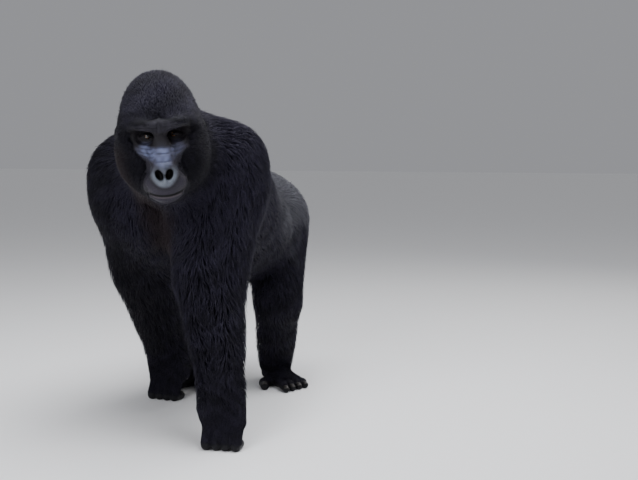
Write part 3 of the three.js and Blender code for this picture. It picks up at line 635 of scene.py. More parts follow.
def sampled_depth(low, high):
    """Depth of the skin on a grid over a box, worked out in full only near the surface."""
    rough = SKIN_CELL * ROUGH_CELLS
    count = np.ceil((high - low) / rough).astype(int) + 1
    axes = [low[i] + rough * np.arange(count[i]) for i in range(3)]
    places = np.stack(np.meshgrid(*axes, indexing="ij"), -1).reshape(-1, 3)
    depth = body_depth(places, 0).reshape(count)
    for i in range(3):
        steps = np.arange((count[i] - 1) * ROUGH_CELLS + 1)
        cell = np.minimum(steps // ROUGH_CELLS, count[i] - 2)
        part = (steps - cell * ROUGH_CELLS) / ROUGH_CELLS
        part = part.reshape([-1 if i == j else 1 for j in range(3)])
        depth = np.take(depth, cell, i) * (1 - part) + np.take(depth, cell + 1, i) * part
    near = np.argwhere(np.abs(depth) < rough * 1.3)
    depth[tuple(near.T)] = body_depth(low + near * SKIN_CELL, 0)
    return depth


def wrapped(depth, low):
    """Points and four-sided faces of the surface where depth changes sign, facing outward."""
    inside = depth < 0
    corners = np.zeros(np.array(depth.shape) - 1, int)
    cube = [(i, j, k) for i in (0, 1) for j in (0, 1) for k in (0, 1)]
    size = corners.shape
    for i, j, k in cube:
        corners += inside[i:i + size[0], j:j + size[1], k:k + size[2]]
    cells = np.argwhere((corners > 0) & (corners < 8))
    number = np.full(size, -1)
    number[tuple(cells.T)] = np.arange(len(cells))
    total, crossings = np.zeros((len(cells), 3)), np.zeros((len(cells), 1))
    faces = []
    for axis in range(3):
        one, two = (axis + 1) % 3, (axis + 2) % 3
        step = np.eye(3, dtype=int)
        for i in (0, 1):
            for j in (0, 1):
                start = cells + i * step[one] + j * step[two]
                first, second = depth[tuple(start.T)], depth[tuple((start + step[axis]).T)]
                crossed = (first < 0) != (second < 0)
                part = first[crossed] / (first[crossed] - second[crossed])
                total[crossed] += start[crossed] + part[:, None] * step[axis]
                crossings[crossed] += 1
        before, after = [slice(None)] * 3, [slice(None)] * 3
        before[axis], after[axis] = slice(0, -1), slice(1, None)
        edges = np.argwhere(inside[tuple(before)] != inside[tuple(after)])
        around = [edges - i * step[one] - j * step[two]
                  for i, j in ((1, 1), (0, 1), (0, 0), (1, 0))]
        quads = np.stack([number[tuple(cell.T)] for cell in around], 1)
        outward = inside[tuple(edges.T)]
        quads[~outward] = quads[~outward][:, ::-1]
        faces.append(quads)
    return low + SKIN_CELL * total / crossings, np.concatenate(faces)


MARGIN = 0.05
box_low = np.array(cad_box[0]) - ORIGIN - MARGIN
box_high = np.array(cad_box[1]) - ORIGIN + MARGIN
skin_points, skin_faces = wrapped(sampled_depth(box_low, box_high), box_low)
skin_points = settled(skin_points)


def to_face(points):
    """Places as seen from the middle of the eyes: x to the animal's left, y back, z up the face."""
    return (points - EYES) @ HEAD_TURN


def fineness(points):
    """How many times the skin's grid is halved at each point."""
    x, y, z = to_face(points).T
    level = np.zeros(len(points), int)
    level[(np.abs(x) < 0.135) & (y < 0.1) & (z > -0.21) & (z < 0.08)] = 1
    level[(np.abs(x) < 0.1) & (y < 0.05) & (z > -0.185) & (z < 0.07)] = 2
    level[(np.abs(x) < 0.066) & (y < 0.012) & (z > -0.16) & (z < 0.052)] = 3
    level[points[:, 2] < 0.12] = 1
    level[points[:, 2] < 0.046] = 2
    return level


SOLE = 0.0005

skin_mesh = bpy.data.meshes.new("skin")
skin_mesh.from_pydata(skin_points.tolist(), [], skin_faces.tolist())
for halving in (1, 2, 3):
    draft = bmesh.new()
    draft.from_mesh(skin_mesh)
    flagged = fineness(skin_points) >= halving
    edges = [e for e in draft.edges if flagged[e.verts[0].index] and flagged[e.verts[1].index]]
    bmesh.ops.subdivide_edges(draft, edges=edges, cuts=1, use_grid_fill=True)
    draft.to_mesh(skin_mesh)
    draft.free()
    skin_points = np.zeros(len(skin_mesh.vertices) * 3)
    skin_mesh.vertices.foreach_get("co", skin_points)
    skin_points = skin_points.reshape(-1, 3)
    fresh = np.flatnonzero(fineness(skin_points) >= halving)
    skin_points[fresh] = settled(skin_points[fresh])
    skin_points[:, 2] = np.maximum(skin_points[:, 2], SOLE)
    skin_mesh.vertices.foreach_set("co", skin_points.ravel())

EAR_OUT, EAR_BACK, EAR_HEIGHT = 0.114, 0.073, -0.012
HALF_FACE = (
    (-0.174, 0.000), (-0.166, 0.026), (-0.152, 0.046), (-0.132, 0.058), (-0.11, 0.06),
    (-0.09, 0.05), (-0.07, 0.046), (-0.05, 0.056), (-0.03, 0.067), (-0.01, 0.076),
    (0.01, 0.084), (0.028, 0.086), (0.042, 0.07), (0.05, 0.04), (0.056, 0.000),
)


def ease(low, high, value):
    """0 at low, 1 at high, and a smooth change between."""
    t = np.clip((value - low) / (high - low), 0, 1)
    return t * t * (3 - 2 * t)


def waves(points, size, seed, count=5):
    """Smooth pseudo-random numbers from about -1 to 1 that change over this size."""
    draw = np.random.default_rng(seed)
    total = np.zeros(len(points))
    for _ in range(count):
        way = draw.normal(size=3)
        way *= 2 * math.pi / (size * np.linalg.norm(way)) * draw.uniform(0.6, 1.6)
        total += np.sin(points @ way + draw.uniform(0, 2 * math.pi))
    return total / math.sqrt(count)


def bareness(points):
    """How bare the skin is: 0 under hair, 1 on the face, fingers, toes and soles."""
    x, y, z = to_face(points).T
    heights, halves = np.array(HALF_FACE).T
    edge = np.interp(z, heights, halves) - np.abs(x) + 0.004 * waves(points, 0.02, 3)
    face = ease(-0.008, 0.01, edge) * ease(0.075, 0.055, y)
    ear = ease(1.2, 0.95, np.hypot((y - EAR_BACK) / 0.021, (z - EAR_HEIGHT) / 0.03))
    low = ease(0.036, 0.022, points[:, 2])
    return np.maximum(np.maximum(face, ear * (np.abs(x) > 0.08) * 0.9), low)


def silverness(points):
    """How grey the coat is: the saddle over the back, the flanks and the tops of the thighs."""
    x, y, z = points.T
    along = ease(-0.12, 0.06, y - 0.25 * np.abs(x)) * ease(0.52, 0.34, y)
    high = ease(0.5, 0.7, z + 0.04 * waves(points, 0.12, 5))
    return along * high


def store(mesh, name, values):
    """Keeps a number for each vertex of a mesh."""
    kept = mesh.attributes.new(name, "FLOAT", "POINT").data
    kept.foreach_set("value", np.asarray(values, np.float32))


def mark(name, values):
    """Keeps a number for each vertex of the skin, which is 0 off the face."""
    store(skin_mesh, name, on_face * values)


face_x, face_y, face_z = to_face(skin_points).T
side_x = np.abs(face_x)
on_face = ease(0.07, 0.05, face_y) * (face_z > -0.25) * (face_z < 0.09) * (side_x < 0.13)
store(skin_mesh, "bare", bareness(skin_points))
store(skin_mesh, "silver", silverness(skin_points))
mark("face", 1)
nose_far = np.sqrt((face_x / 0.0345) ** 2 + ((face_z + 0.0835) / 0.0335) ** 2)
mark("nose", ease(1.18, 0.82, nose_far)
     * (0.22 + 0.74 * ease(-0.06, -0.094, face_z) + 0.1 * waves(skin_points, 0.016, 35)))
# Painted shade in a ring just outside the lower edge of the nose pad, where the pad stands out from
# the face.
mark("nose_edge", ease(0.2, 0.0, np.abs(nose_far - 1.22))
     * ease(-0.06, -0.075, face_z) * (face_y < -0.03))
# Painted highlight: lighter blue-grey under the eyes and on the bridge of the nose, full under the
# animal's right eye and weaker under its left, for sky light on the middle of the face.
under_eye = np.sqrt(((side_x - 0.036) / 0.034) ** 2 + ((face_z + 0.03) / 0.021) ** 2)
bridge = np.sqrt((face_x / 0.024) ** 2 + ((face_z + 0.038) / 0.03) ** 2)
mark("cool", np.maximum(
    ease(1.35, 0.25, under_eye) * np.where(face_x < 0, 1, 0.38),
    ease(1.4, 0.35, bridge),
) * (0.86 + 0.22 * waves(skin_points, 0.014, 33)))
# Painted shade in the creases: dark lines in the folds under the eyes, the frown lines between the
# brows and the lines across the bridge of the nose.
arch = face_z - 0.007 * ((side_x - 0.046) / 0.022) ** 2
between = (0.5 - 0.5 * np.cos(2 * math.pi * (arch + 0.0205) / 0.01)) ** 2
between *= ease(-0.052, -0.044, arch) * ease(-0.01, -0.016, arch)
between *= ease(0.018, 0.026, side_x) * ease(0.072, 0.06, side_x)
frown = np.exp(-((side_x - 0.0062) / 0.0015) ** 2)
frown *= ease(0.01, 0.016, face_z) * ease(0.052, 0.042, face_z)
cross = sum(np.exp(-((face_z - height) / 0.0015) ** 2) for height in (-0.0175, -0.0315, -0.051))
cross *= ease(0.026, 0.018, side_x)
mark("furrow", np.maximum(np.maximum(between, frown), cross * 0.8)
     * (0.8 + 0.2 * waves(skin_points, 0.012, 37)))
mouth_height = -0.1442 + 0.004 * (face_x / 0.052) ** 2
lip_far = np.abs(face_z - mouth_height + 0.0052)
mark("lip", ease(0.0036, 0.0012, lip_far) * ease(0.052, 0.036, side_x) * (face_y < 0))
# Painted shade: near black in the nostrils and along the line of the mouth, where the openings lie
# in shadow.
slant = math.radians(22)
out, up = side_x - 0.0134, face_z + 0.0855
nostril = np.hypot((out * math.cos(slant) - up * math.sin(slant)) / 0.0106,
                   (out * math.sin(slant) + up * math.cos(slant)) / 0.0158)
mouth_far = np.abs(face_z - mouth_height) / 0.0024 + np.maximum(side_x / 0.053 - 1, 0) * 9
mark("hollow", np.maximum(
    ease(1.08, 0.9, nostril) * (face_y < -0.05),
    ease(1.6, 0.8, mouth_far) * (face_y < 0),
))
band_middle = np.where(face_y < -0.03, 0.002, 0.006)
band_half = 0.018 + 0.008 * ease(0.046, 0.066, side_x)
band = ease(1.35, 0.75, np.abs(face_z - band_middle) / band_half)
band *= ease(0.108, 0.08, side_x)
mark("shade", np.maximum(
    band * (0.9 + 0.1 * ease(0.008, 0.02, side_x)),
    ease(0.066, 0.096, side_x) * 0.8,
))
# Painted warm shade: a brownish tint on the sides of the face below the eyes.
mark("warm", ease(0.04, 0.075, side_x) * (face_z < -0.02))
mark("brow", ease(0.018, 0.03, face_z) * (0.75 + 0.25 * waves(skin_points, 0.018, 31)))
mark("muzzle", ease(-0.098, -0.122, face_z))

hide = Finish("hide")
place = hide.node("TexCoord", output="Object")
blotch = hide.node("TexNoise", {}, {
    "Vector": place, "Scale": 38.0, "Detail": 5.0, "Roughness": 0.6,
})
pores = hide.node("TexVoronoi", {"feature": "DISTANCE_TO_EDGE"}, {"Vector": place, "Scale": 620.0})
creases = hide.node("TexNoise", {}, {
    "Vector": hide.node("Mapping", {}, {"Vector": place, "Scale": (120.0, 120.0, 420.0)}),
    "Scale": 1.0, "Detail": 4.0, "Roughness": 0.65,
})
leather = hide.node("TexVoronoi", {"feature": "DISTANCE_TO_EDGE"}, {
    "Vector": place, "Scale": 210.0, "Randomness": 1.0,
})
slate = hide.mixed(blotch, (0.015, 0.0135, 0.019), (0.033, 0.03, 0.0425))
for name, share, colour in (
    # painted warm shade on the sides of the face
    ("warm", 0.6, (0.024, 0.017, 0.015)),
    # painted highlight under the eyes and on the bridge of the nose
    ("cool", 0.9, (0.108, 0.124, 0.212)),
    ("brow", 0.85, (0.0082, 0.0076, 0.0115)),
    # painted shade in the creases
    ("furrow", 0.62, (0.01, 0.009, 0.014)),
    ("muzzle", 0.62, (0.024, 0.0205, 0.031)),
    # painted shade round the lower edge of the nose pad
    ("nose_edge", 0.55, (0.012, 0.012, 0.014)),
    ("nose", 0.9, (0.134, 0.152, 0.18)),
    ("lip", 0.5, (0.085, 0.07, 0.074)),
    ("shade", 0.95, (0.0062, 0.005, 0.0062)),
):
    slate = hide.mixed(hide.number(name) * share, slate, colour)
# painted shade, near black, in the nostrils and the mouth line
slate = hide.mixed(hide.number("hollow"), slate, (0.0015, 0.0015, 0.0018))
slate = hide.mixed(hide.number("face"), (0.0046, 0.0044, 0.006), slate)
silver_hide = hide.mixed(hide.number("silver") * 0.8, (0.004, 0.004, 0.006), (0.02, 0.02, 0.024))
grain = hide.node("Bump", {}, {
    "Height": pores * 0.4 + creases + leather * 0.9, "Strength": 0.75, "Distance": 0.0018,
})
hide.paint(
    Base_Color=hide.mixed(hide.number("bare"), silver_hide, slate),
    Roughness=0.6 - 0.14 * hide.number("bare") + 0.14 * (blotch - 0.5),
    Normal=grain,
    Specular_IOR_Level=0.17,
)


def stand(name, mesh, finish, replaced=(), at=ORIGIN, facing=(0, 0, 0)):
    """Puts a piece of the animal in its place, with its finish, on the root body."""
    mesh.polygons.foreach_set("use_smooth", np.ones(len(mesh.polygons), bool))
    mesh.materials.append(finish.material)
    piece = linked(bpy.data.objects.new(name, mesh))
    piece.location = at
    piece.rotation_euler = facing
    if replaced:
        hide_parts(*replaced)
    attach(piece, "root")


flesh = [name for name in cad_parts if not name.startswith(("eye_", "ear_"))]
stand("skin", skin_mesh, hide, flesh)

# ---- Ears ----
# Small, bare, black ears set low on the sides of the head: a flap of gristle under thin skin, with
# a rolled rim round its top and back, a fold inside that and a hollow in front.

EAR_THICK, EAR_WIDE, EAR_TALL = 0.0085, 0.0185, 0.0275


def as_mesh(name, made):
    """A mesh of this name from what bmesh has made."""
    mesh = bpy.data.meshes.new(name)
    made.to_mesh(mesh)
    made.free()
    return mesh


for side, s in SIDES.items():
    flap = bmesh.new()
    bmesh.ops.create_uvsphere(flap, u_segments=72, v_segments=54, radius=1)
    seat = on_head(s * EAR_OUT, EAR_BACK, EAR_HEIGHT)
    lean = HEAD_TURN @ turned(s * 24, "Z")
    for v in flap.verts:
        out, back, up = v.co
        fade = ease(0.1, 0.8, -back) * ease(0.3, -0.3, up)
        rim = math.exp(-((math.hypot(back, up) - 0.84) / 0.11) ** 2) * (1 - fade)
        fold = math.exp(-((math.hypot(back + 0.15, up + 0.05) - 0.52) / 0.09) ** 2)
        fold *= ease(-0.1, 0.3, back)
        hollow = math.exp(-((back + 0.2) / 0.34) ** 2 - ((up + 0.1) / 0.45) ** 2)
        relief = (0.42 * rim + 0.2 * fold - 0.8 * hollow) * ease(0, 0.25, out)
        place = (s * EAR_THICK * (0.75 * out + relief), EAR_WIDE * back, EAR_TALL * up)
        v.co = Vector(seat + lean @ place)
    bmesh.ops.recalc_face_normals(flap, faces=flap.faces)
    mesh = as_mesh(f"ear_flap_{side}", flap)
    store(mesh, "bare", np.ones(len(mesh.vertices)))
    stand(f"ear_flap_{side}", mesh, hide, [f"ear_{side}"])

# ---- Eyes ----
# Small brown eyes set deep under the brow: a wet ball with a bulging clear front, a dark brown
# iris round a black pupil, and a brown white. Each stands in its socket behind the lids.

EYE_RADIUS = 0.0118
CLEAR_FRONT = 0.06
GAZE = Vector(camera.location) - Vector(eye_middle)

eye_finish = Finish("wet_eye")
eye_place = eye_finish.node("TexCoord", output="Object")
ahead = eye_finish.node("SeparateXYZ", {}, {"Vector": eye_place}, output=2)
streaks = eye_finish.node("TexNoise", {}, {"Scale": 900.0, "Detail": 3.0})
iris = eye_finish.node("ValToRGB", {"stops": [
    (0.0, (0.03, 0.018, 0.012)),
    (0.8, (0.04, 0.022, 0.014)),
    (0.845, (0.012, 0.006, 0.004)),
    (0.87, (0.12, 0.05, 0.016)),
    (0.955, (0.19, 0.086, 0.026)),
    (0.968, (0.002, 0.002, 0.002)),
    (1.0, (0.001, 0.001, 0.001)),
]}, {"Fac": ahead * (1 / EYE_RADIUS) + 0.015 * (streaks - 0.5)})
eye_finish.paint(Base_Color=iris, Roughness=0.06, Specular_IOR_Level=0.6, Coat_Weight=1.0,
                 Coat_Roughness=0.03)
for side, s in SIDES.items():
    ball = bmesh.new()
    bmesh.ops.create_uvsphere(ball, u_segments=48, v_segments=32, radius=EYE_RADIUS)
    for v in ball.verts:
        v.co *= 1 + CLEAR_FRONT * float(ease(0.8, 0.98, v.co.z / EYE_RADIUS))
    stand(f"eyeball_{side}", as_mesh(f"eyeball_{side}", ball), eye_finish, [f"eye_{side}"],
          ORIGIN + on_head(s * EYE_OUT, EYE_BACK, 0), GAZE.to_track_quat("Z", "Y").to_euler())

# ---- Nails ----
# Broad, flat, black nails on the toes and thumbs: thin curved plates of horn that grow out of the
# skin at the back and end in a blunt free edge.

nail_finish = Finish("black_horn")
lines = nail_finish.node("TexNoise", {}, {
    "Vector": nail_finish.node("TexCoord", output="Object"), "Scale": 160.0, "Detail": 4.0,
})
nail_finish.paint(
    Base_Color=nail_finish.mixed(lines, (0.012, 0.011, 0.011), (0.045, 0.04, 0.036)),
    Roughness=0.28 + 0.12 * lines,
    Normal=nail_finish.node("Bump", {}, {"Height": lines, "Strength": 0.3, "Distance": 0.0008}),
)


def nail(name, root, tip, radius, up=(0, 0, 1)):
    """A curved plate on the upper side of a finger or toe, from behind its tip to just past it."""
    way = np.array(tip) - root
    length = np.linalg.norm(way)
    way = way / length
    side = np.cross(way, up)
    side /= np.linalg.norm(side)
    above = np.cross(side, way)
    if above @ np.array(up, float) < 0:
        above, side = -above, -side
    rows, columns, curl = 9, 11, 1.75
    made = bmesh.new()
    grid = {}
    for layer, lift in ((0, 0.0006), (1, -0.0008)):
        for i in range(rows):
            t = i / (rows - 1)
            for j in range(columns):
                a = (j / (columns - 1) - 0.5) * curl * (1 - 0.25 * (1 - t) ** 3)
                out = radius * (1.0 - 0.16 * t * t) + lift
                place = np.array(tip) + way * (radius * (-0.55 + 1.45 * t) - 0.25 * radius * a * a)
                place = place + side * math.sin(a) * out * 0.92 + above * math.cos(a) * out
                grid[layer, i, j] = made.verts.new(place)
    for i in range(rows - 1):
        for j in range(columns - 1):
            for layer in (0, 1):
                ring = [grid[layer, i, j], grid[layer, i + 1, j], grid[layer, i + 1, j + 1],
                        grid[layer, i, j + 1]]
                made.faces.new(ring if layer == 0 else ring[::-1])
    rim = [(i, 0) for i in range(rows)] + [(rows - 1, j) for j in range(1, columns)]
    rim += [(i, columns - 1) for i in range(rows - 2, -1, -1)]
    rim += [(0, j) for j in range(columns - 2, 0, -1)]
    for (i, j), (k, m) in zip(rim, rim[1:] + rim[:1]):
        made.faces.new([grid[0, i, j], grid[1, i, j], grid[1, k, m], grid[0, k, m]])
    bmesh.ops.recalc_face_normals(made, faces=made.faces)
    stand(name, as_mesh(name, made), nail_finish)


for side, s in SIDES.items():
    for i in range(4):
        root, bend, tip = toe(side, i)
        nail(f"toenail_{side}_{i + 2}", bend, tip, 0.0126)
    nail(f"toenail_{side}_1", *big_toe(side), 0.0151)
    nail(f"thumbnail_{side}", *thumb(side), 0.0121, (-s, -0.4, 0))

# ---- Coat ----
# Black hair with a grey saddle, in overlapping tufts that are solid, pointed blades. They are
# rooted in the skin and lie along the body: back over the crest, down the arms and legs, thin and
# short on the face, hands and feet, long on the forearms.


def unit(vectors):
    return vectors / np.maximum(np.linalg.norm(vectors, axis=1), 1e-9)[:, None]


def both_ways(rows):
    """Rows of a lie table for the animal's left side, then the same for its right."""
    return [*rows, *(((-x, y, z), (-a, b, c), *size) for (x, y, z), (a, b, c), *size in rows)]


# Each line of the lie table: place, the way the hair points there, and a tuft's length and width
# in millimetres.
HEAD_LIE = [
    ((0, 0.06, 0.112), (0, 1, 0.15), 22, 2),
    ((0, 0.15, 0.11), (0, 1, -0.15), 28, 2.4),
    ((0, -0.01, 0.08), (0, 0.75, 0.65), 11, 1.5),
    *both_ways([
        ((0.06, 0.01, 0.072), (0.15, 0.9, 0.4), 13, 1.6),
        ((0.092, 0.02, 0.04), (0.2, 1, 0.1), 14, 1.7),
        ((0.105, 0.07, 0.03), (0, 1, -0.15), 22, 2.4),
        ((0.1, 0.04, -0.03), (0.2, 0.8, -0.5), 20, 2),
        ((0.075, 0.01, -0.06), (0.35, 0.6, -0.7), 14, 1.7),
        ((0.085, 0.06, -0.09), (0.25, 0.6, -0.75), 26, 2.4),
        ((0.062, 0.01, -0.14), (0.2, 0.6, -0.8), 14, 1.7),
        ((0.06, 0.05, -0.17), (0.1, 0.5, -0.85), 26, 2.4),
        ((0.1, 0.13, -0.06), (0.1, 0.8, -0.6), 32, 3),
    ]),
    ((0, -0.035, -0.185), (0, 0.7, -0.7), 12, 1.6),
    ((0, 0.05, -0.19), (0, 0.5, -0.85), 24, 2.4),
    ((0, 0.21, 0.06), (0, 1, -0.35), 36, 3.4),
]
TRUNK_LIE = [
    ((0, -0.2, 0.91), (0, 1, -0.05), 45, 3.6),
    ((0, 0, 0.84), (0, 1, -0.1), 36, 3.4),
    ((0, 0.18, 0.8), (0, 1, -0.15), 36, 3.4),
    ((0, 0.34, 0.79), (0, 1, -0.35), 40, 3.6),
    ((0, 0.47, 0.64), (0, 0.35, -1), 45, 3.8),
    ((0, 0.4, 0.47), (0, -0.3, -1), 45, 4),
    ((0, 0.06, 0.4), (0, 1, -0.1), 45, 4.2),
    ((0, -0.15, 0.44), (0, 0.9, -0.3), 42, 4),
    ((0, -0.44, 0.64), (0, 0.1, -1), 36, 3.4),
    *both_ways([
        ((0.13, -0.3, 0.9), (0.6, 0.6, -0.3), 45, 3.6),
        ((0.24, 0.02, 0.7), (0, 0.7, -0.75), 42, 3.6),
        ((0.24, 0.06, 0.56), (0, 0.7, -0.75), 45, 3.8),
        ((0.2, 0.28, 0.66), (0, 0.6, -0.8), 42, 3.6),
        ((0.23, -0.14, 0.74), (0, 0.6, -0.8), 45, 3.6),
        ((0.13, -0.43, 0.7), (0.2, 0.2, -1), 36, 3.4),
    ]),
]


def limb_lie(side):
    """The lie of the hair down an arm and a leg."""
    s = SIDES[side]
    shoulder, elbow, wrist = at_side(side, SHOULDER, ELBOW, WRIST)
    hip, knee, ankle = at_side(side, HIP, KNEE, ANKLE)
    upper, lower, thigh, shank = unit(
        np.array((elbow - shoulder, wrist - elbow, knee - hip, ankle - knee)))
    arm = [
        (shoulder + (0, 0, 0.1), (s * 0.5, 0.25, -0.35), 45, 3.6),
        (shoulder + (s * 0.08, 0, 0), (s * 0.2, 0.15, -1), 48, 3.8),
        (shoulder * 0.5 + elbow * 0.5, upper + (0, 0.12, 0), 52, 4),
        (elbow, upper + lower + (0, 0.25, 0), 58, 4.2),
        (elbow * 0.6 + wrist * 0.4, lower + (0, 0.12, 0), 62, 4.2),
        (elbow * 0.25 + wrist * 0.75, lower + (0, 0.08, 0), 50, 3.8),
        (wrist + (0, 0, -0.02), lower + (0, -0.1, 0), 30, 2.8),
        (by_knuckles(side, 0, -0.01, 0), (0, -0.5, -1), 14, 1.8),
    ]
    leg = [
        (hip, thigh + (0, 0.25, 0), 45, 3.8),
        (hip * 0.5 + knee * 0.5, thigh + (0, 0.3, 0), 48, 3.8),
        (knee, thigh + shank, 48, 3.8), (knee * 0.5 + ankle * 0.5, shank, 48, 3.8),
        (ankle + (0, 0, 0.02), shank + (0, -0.3, 0), 30, 2.8),
        (by_ankle(side, 0, -0.08, 0.06), FOOT_TURN[side] @ (0, -0.2, -0.05), 12, 1.6),
    ]
    return arm, leg


LIE = {"core": [(on_head(*at), HEAD_TURN @ way, *size) for at, way, *size in HEAD_LIE] + TRUNK_LIE}
for side in SIDES:
    LIE[f"arm_{side}"], LIE[f"leg_{side}"] = limb_lie(side)

PART_BLEND, PLACE_BLEND = 0.018, 0.03


def lie_at(points):
    """For each place: the way its hair points, a tuft's length and width, and each part's share."""
    skin_level = np.zeros(len(points))
    parts = {name: np.exp(-np.clip(depth_in(forms, points, skin_level), 0, 1) / PART_BLEND)
             for name, forms in {"core": CORE, **LIMBS}.items()}
    whole = sum(parts.values())
    way, size = np.zeros((len(points), 3)), np.zeros((len(points), 2))
    for name, share in parts.items():
        some = np.flatnonzero(share > 1e-3)
        spots = points[some]
        total, ways, sizes = np.zeros(len(some)), np.zeros((len(some), 3)), np.zeros((len(some), 2))
        for at, direction, length, width in LIE[name]:
            weight = 1 / (((spots - at) ** 2).sum(1) + PLACE_BLEND**2) ** 2
            total += weight
            ways += weight[:, None] * (np.array(direction) / np.linalg.norm(direction))
            sizes += weight[:, None] * (length, width)
        portion = (share[some] / whole[some] / total)[:, None]
        way[some] += portion * ways
        size[some] += portion * sizes
    return way, *(size.T / 1000), parts


TUFTS = 140_000
LOCK = 0.013
STRAYS = 0.035
ROOT_DEPTH, MIDDLE_RISE, LOWEST_TIP = 0.0015, 0.008, 0.002
draw = np.random.default_rng(1861)

skin_mesh.calc_loop_triangles()
triangles = np.zeros(len(skin_mesh.loop_triangles) * 3, int)
skin_mesh.loop_triangles.foreach_get("vertices", triangles)
triangles = triangles.reshape(-1, 3)
a, b, c = (skin_points[triangles[:, i]] for i in range(3))
spots = (a + b + c) / 3
area = np.linalg.norm(np.cross(b - a, c - a), axis=1) / 2
_, spot_length, spot_width, _ = lie_at(spots)
haired = ease(0.75, 0.25, bareness(spots))
wanted = area * haired / (spot_length * spot_width)
wanted *= 1 - 0.35 * ease(0.52, 0.44, spots[:, 2]) * (np.abs(spots[:, 0]) < 0.16)
sums = np.cumsum(wanted)
picks = np.searchsorted(sums, (np.arange(TUFTS) + draw.uniform(size=TUFTS)) / TUFTS * sums[-1])
picks = np.minimum(picks, len(sums) - 1)
u, v = draw.uniform(size=(2, TUFTS))
over = u + v > 1
u[over], v[over] = 1 - u[over], 1 - v[over]
roots = a[picks] + u[:, None] * (b - a)[picks] + v[:, None] * (c - a)[picks]


def lengthwise(way, normal):
    """The part of each way that lies along the surface, as a unit vector."""
    return unit(way - (way * normal).sum(1)[:, None] * normal)


way, length, width, parts = lie_at(roots)
_, slope = body_slope(roots, 0)
normal = unit(slope)
head_on = np.abs((unit(way) * normal).sum(1))
way = unit(way) + ease(0.35, 0.75, head_on)[:, None] * (0, 2.0, 0)
bend = 13 * waves(roots, 0.09, 11) + 8 * waves(roots, 0.03, 12) + draw.normal(0, 7, TUFTS)
bend = np.radians(bend)
flat = lengthwise(way, normal)
flat = flat * np.cos(bend)[:, None] + np.cross(normal, flat) * np.sin(bend)[:, None]
length = length * draw.uniform(0.75, 1.25, TUFTS)
width = width * draw.uniform(0.65, 1.15, TUFTS)
edge_hair = haired[picks]
length *= 0.55 + 0.45 * edge_hair
level = 0.55 + 0.5 * draw.uniform(size=TUFTS) ** 0.7
stray = draw.uniform(size=TUFTS) < STRAYS
level[stray] *= 1.18

cell = np.floor(roots / LOCK)
jitter = np.sin(cell @ (12.9898, 78.233, 37.719))[:, None] * (43758.5, 24634.6, 35711.2)
heart = (cell + 0.5 + 0.6 * (jitter - np.floor(jitter) - 0.5)) * LOCK
pull = heart - roots
pull -= (pull * normal).sum(1)[:, None] * normal
gather = (0.15 + 0.45 * ease(0.03, 0.06, length))[:, None]


def lifted(place, share):
    """A place along a tuft moved to this share of the coat, and the surface's way out there."""
    place, slope = drawn(place, share, 0.03)
    return place, unit(slope)


mid = roots + 0.35 * gather * pull + flat * (0.5 * length)[:, None] + normal * MIDDLE_RISE
mid, mid_normal = lifted(mid, level * 0.75)
tip = mid + 0.55 * gather * pull + lengthwise(flat, mid_normal) * (0.5 * length)[:, None]
tip = lifted(tip, level)[0]
tip += 0.0022 * draw.normal(size=(TUFTS, 3)) * (0.3 + stray[:, None])
tip[:, 2] = np.maximum(tip[:, 2], LOWEST_TIP)
root_place = roots - ROOT_DEPTH * normal

# Tone that differs at random from tuft to tuft; painted light and shade are added to it below.
tone = 0.5 + 0.22 * waves(roots, 0.05, 21) + 0.16 * draw.normal(size=TUFTS)
silver = silverness(roots) * np.clip(draw.normal(0.85, 0.25, TUFTS), 0, 1.2)
# Painted light and shade: the hair is darker low on the body and lighter towards the top, where the
# light from above falls.
tone += np.interp(roots[:, 2], (0.3, 0.52, 0.66, 0.8), (-0.18, 0.05, 0.32, 0.38))
# Painted shade: the front of the animal's right side is darker, away from the light.
tone -= 0.75 * ease(-0.05, -0.2, roots[:, 0]) * ease(0.0, -0.15, roots[:, 1])
# Painted shade: the fur of the head is darker, and darker still on the cheeks below the crown.
head_share = ease(0.24, 0.15, np.linalg.norm(roots - EYES - (0, 0.06, 0), axis=1))
tone -= head_share * (0.6 + 0.4 * ease(0.98, 0.88, roots[:, 2]))
tone = np.clip(tone + 0.55 * silver * ease(0.1, 0.34, roots[:, 1]), 0, 1.3)
throat = ease(0.085, 0.02, np.abs(roots[:, 0] - 0.015)) * ease(0.52, 0.6, roots[:, 2])
throat *= ease(-0.3, -0.36, roots[:, 1]) * ease(0.9, 0.84, roots[:, 2])

# Each blade has three sides: two rings of three corners, then the point.
RING = ((-0.5, -0.1), (0.5, -0.1), (0.0, 0.22))
BLADE_FACES = [(0, 2, 1)]
BLADE_FACES += [(i, (i + 1) % 3, 3 + (i + 1) % 3, 3 + i) for i in range(3)]
BLADE_FACES += [(3 + i, 3 + (i + 1) % 3, 6) for i in range(3)]
MAP_PATCH = 0.003
MAP_CORNERS = ((0, 0), (1, 0), (0.5, 0.2), (0, 0.6), (1, 0.6), (0.5, 0.7), (0.5, 1))


def skin_chart(points, normal):
    """Places on an unfolding of the skin: six sheets, one for each way it faces, 3 by 2."""
    axis = np.abs(normal).argmax(1)
    sheet = axis * 2 + (normal[np.arange(len(normal)), axis] > 0)
    chart = np.zeros((len(points), 2))
    for i in range(6):
        own = np.flatnonzero(sheet == i)
        if not len(own):
            continue
        across = np.delete(points[own], i // 2, 1)
        span = np.maximum(np.ptp(across, axis=0), 1e-6)
        chart[own] = ((across - across.min(0)) / span * 0.96 + 0.02 + (i % 3, i // 3)) / (3, 2)
    return chart * (1 - MAP_PATCH)


coat_finish = Finish("hair")
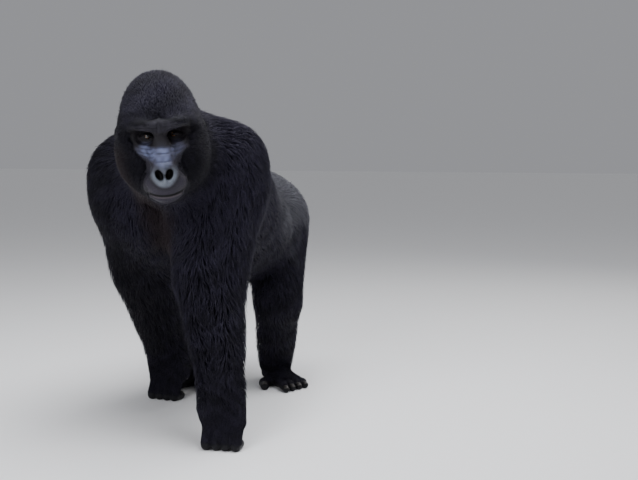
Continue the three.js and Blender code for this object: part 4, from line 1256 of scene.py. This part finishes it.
# The tone carries random tone together with painted light and shade.
tone_and_light_wire = coat_finish.number("tone")
silver_wire = coat_finish.number("silver")
along = coat_finish.number("along")
black = coat_finish.mixed(tone_and_light_wire, (0.0036, 0.0031, 0.006), (0.0225, 0.02, 0.036))
black = coat_finish.mixed(coat_finish.number("throat") * 0.85, black, (0.027, 0.018, 0.0175))
grey = coat_finish.mixed(tone_and_light_wire, (0.028, 0.028, 0.035), (0.145, 0.147, 0.165))
hair_colour = coat_finish.mixed(silver_wire, black, grey)
coat_finish.paint(
    Base_Color=coat_finish.mixed(along * 0.18, hair_colour, (0.024, 0.021, 0.036)),
    Roughness=0.5 + 0.14 * (1 - tone_and_light_wire),
    Specular_IOR_Level=0.16,
)


def coat_piece(name, own):
    """One piece of the coat, made of the tufts whose numbers are given."""
    count = len(own)
    across = unit(np.cross(flat[own], normal[own]))
    corners = np.zeros((count, 7, 3))
    for ring, (centre, out, size) in enumerate((
        (root_place[own], normal[own], width[own]),
        (mid[own], mid_normal[own], width[own] * 0.85),
    )):
        for i, (x, z) in enumerate(RING):
            corners[:, ring * 3 + i] = centre + (across * x + out * z) * size[:, None]
    corners[:, 6] = tip[own]
    sizes = np.array([len(face) for face in BLADE_FACES])
    ring_corners = np.concatenate(BLADE_FACES)
    loops = (np.arange(count)[:, None] * 7 + ring_corners).ravel()
    starts = np.concatenate([[0], np.cumsum(np.tile(sizes, count))[:-1]])
    mesh = bpy.data.meshes.new(name)
    mesh.vertices.add(count * 7)
    mesh.vertices.foreach_set("co", corners.ravel())
    mesh.loops.add(len(loops))
    mesh.loops.foreach_set("vertex_index", loops.astype(np.int32))
    mesh.polygons.add(len(starts))
    mesh.polygons.foreach_set("loop_start", starts.astype(np.int32))
    mesh.update(calc_edges=True)
    offsets = np.array([MAP_CORNERS[corner] for corner in ring_corners]) * MAP_PATCH
    patches = skin_chart(roots[own], normal[own])[:, None] + offsets
    mesh.uv_layers.new(name="OFBake").data.foreach_set("uv", patches.ravel().astype(np.float32))
    for kept, values in (("tone", tone), ("silver", silver), ("throat", throat)):
        store(mesh, kept, np.repeat(values[own], 7))
    store(mesh, "along", np.tile([0, 0, 0, 0.5, 0.5, 0.5, 1], count))
    slot = "silver_coat" if name in ("coat_back", "coat_belly") else "black_coat"
    stand(name, mesh, coat_finish)


owner = np.stack(list(parts.values()), 1).argmax(1)
_, head_y, head_z = to_face(roots).T
regions = {name: owner == i for i, name in enumerate(parts)}
core = regions.pop("core")
head = core & (head_y < 0.2) & (roots[:, 1] < -0.45)
front = core & ~head & (roots[:, 1] < -0.08)
rear = core & ~head & ~front
coat_regions = {
    "coat_crown": head & (head_z > 0.02),
    "coat_cheeks": head & (head_z <= 0.02),
    "coat_neck": front & (roots[:, 2] > 0.7),
    "coat_chest": front & (roots[:, 2] <= 0.7),
    "coat_back": rear & (roots[:, 2] > 0.62),
    "coat_belly": rear & (roots[:, 2] <= 0.62),
    **{f"coat_{name}": own for name, own in regions.items()},
}
for name, own in coat_regions.items():
    coat_piece(name, np.flatnonzero(own))
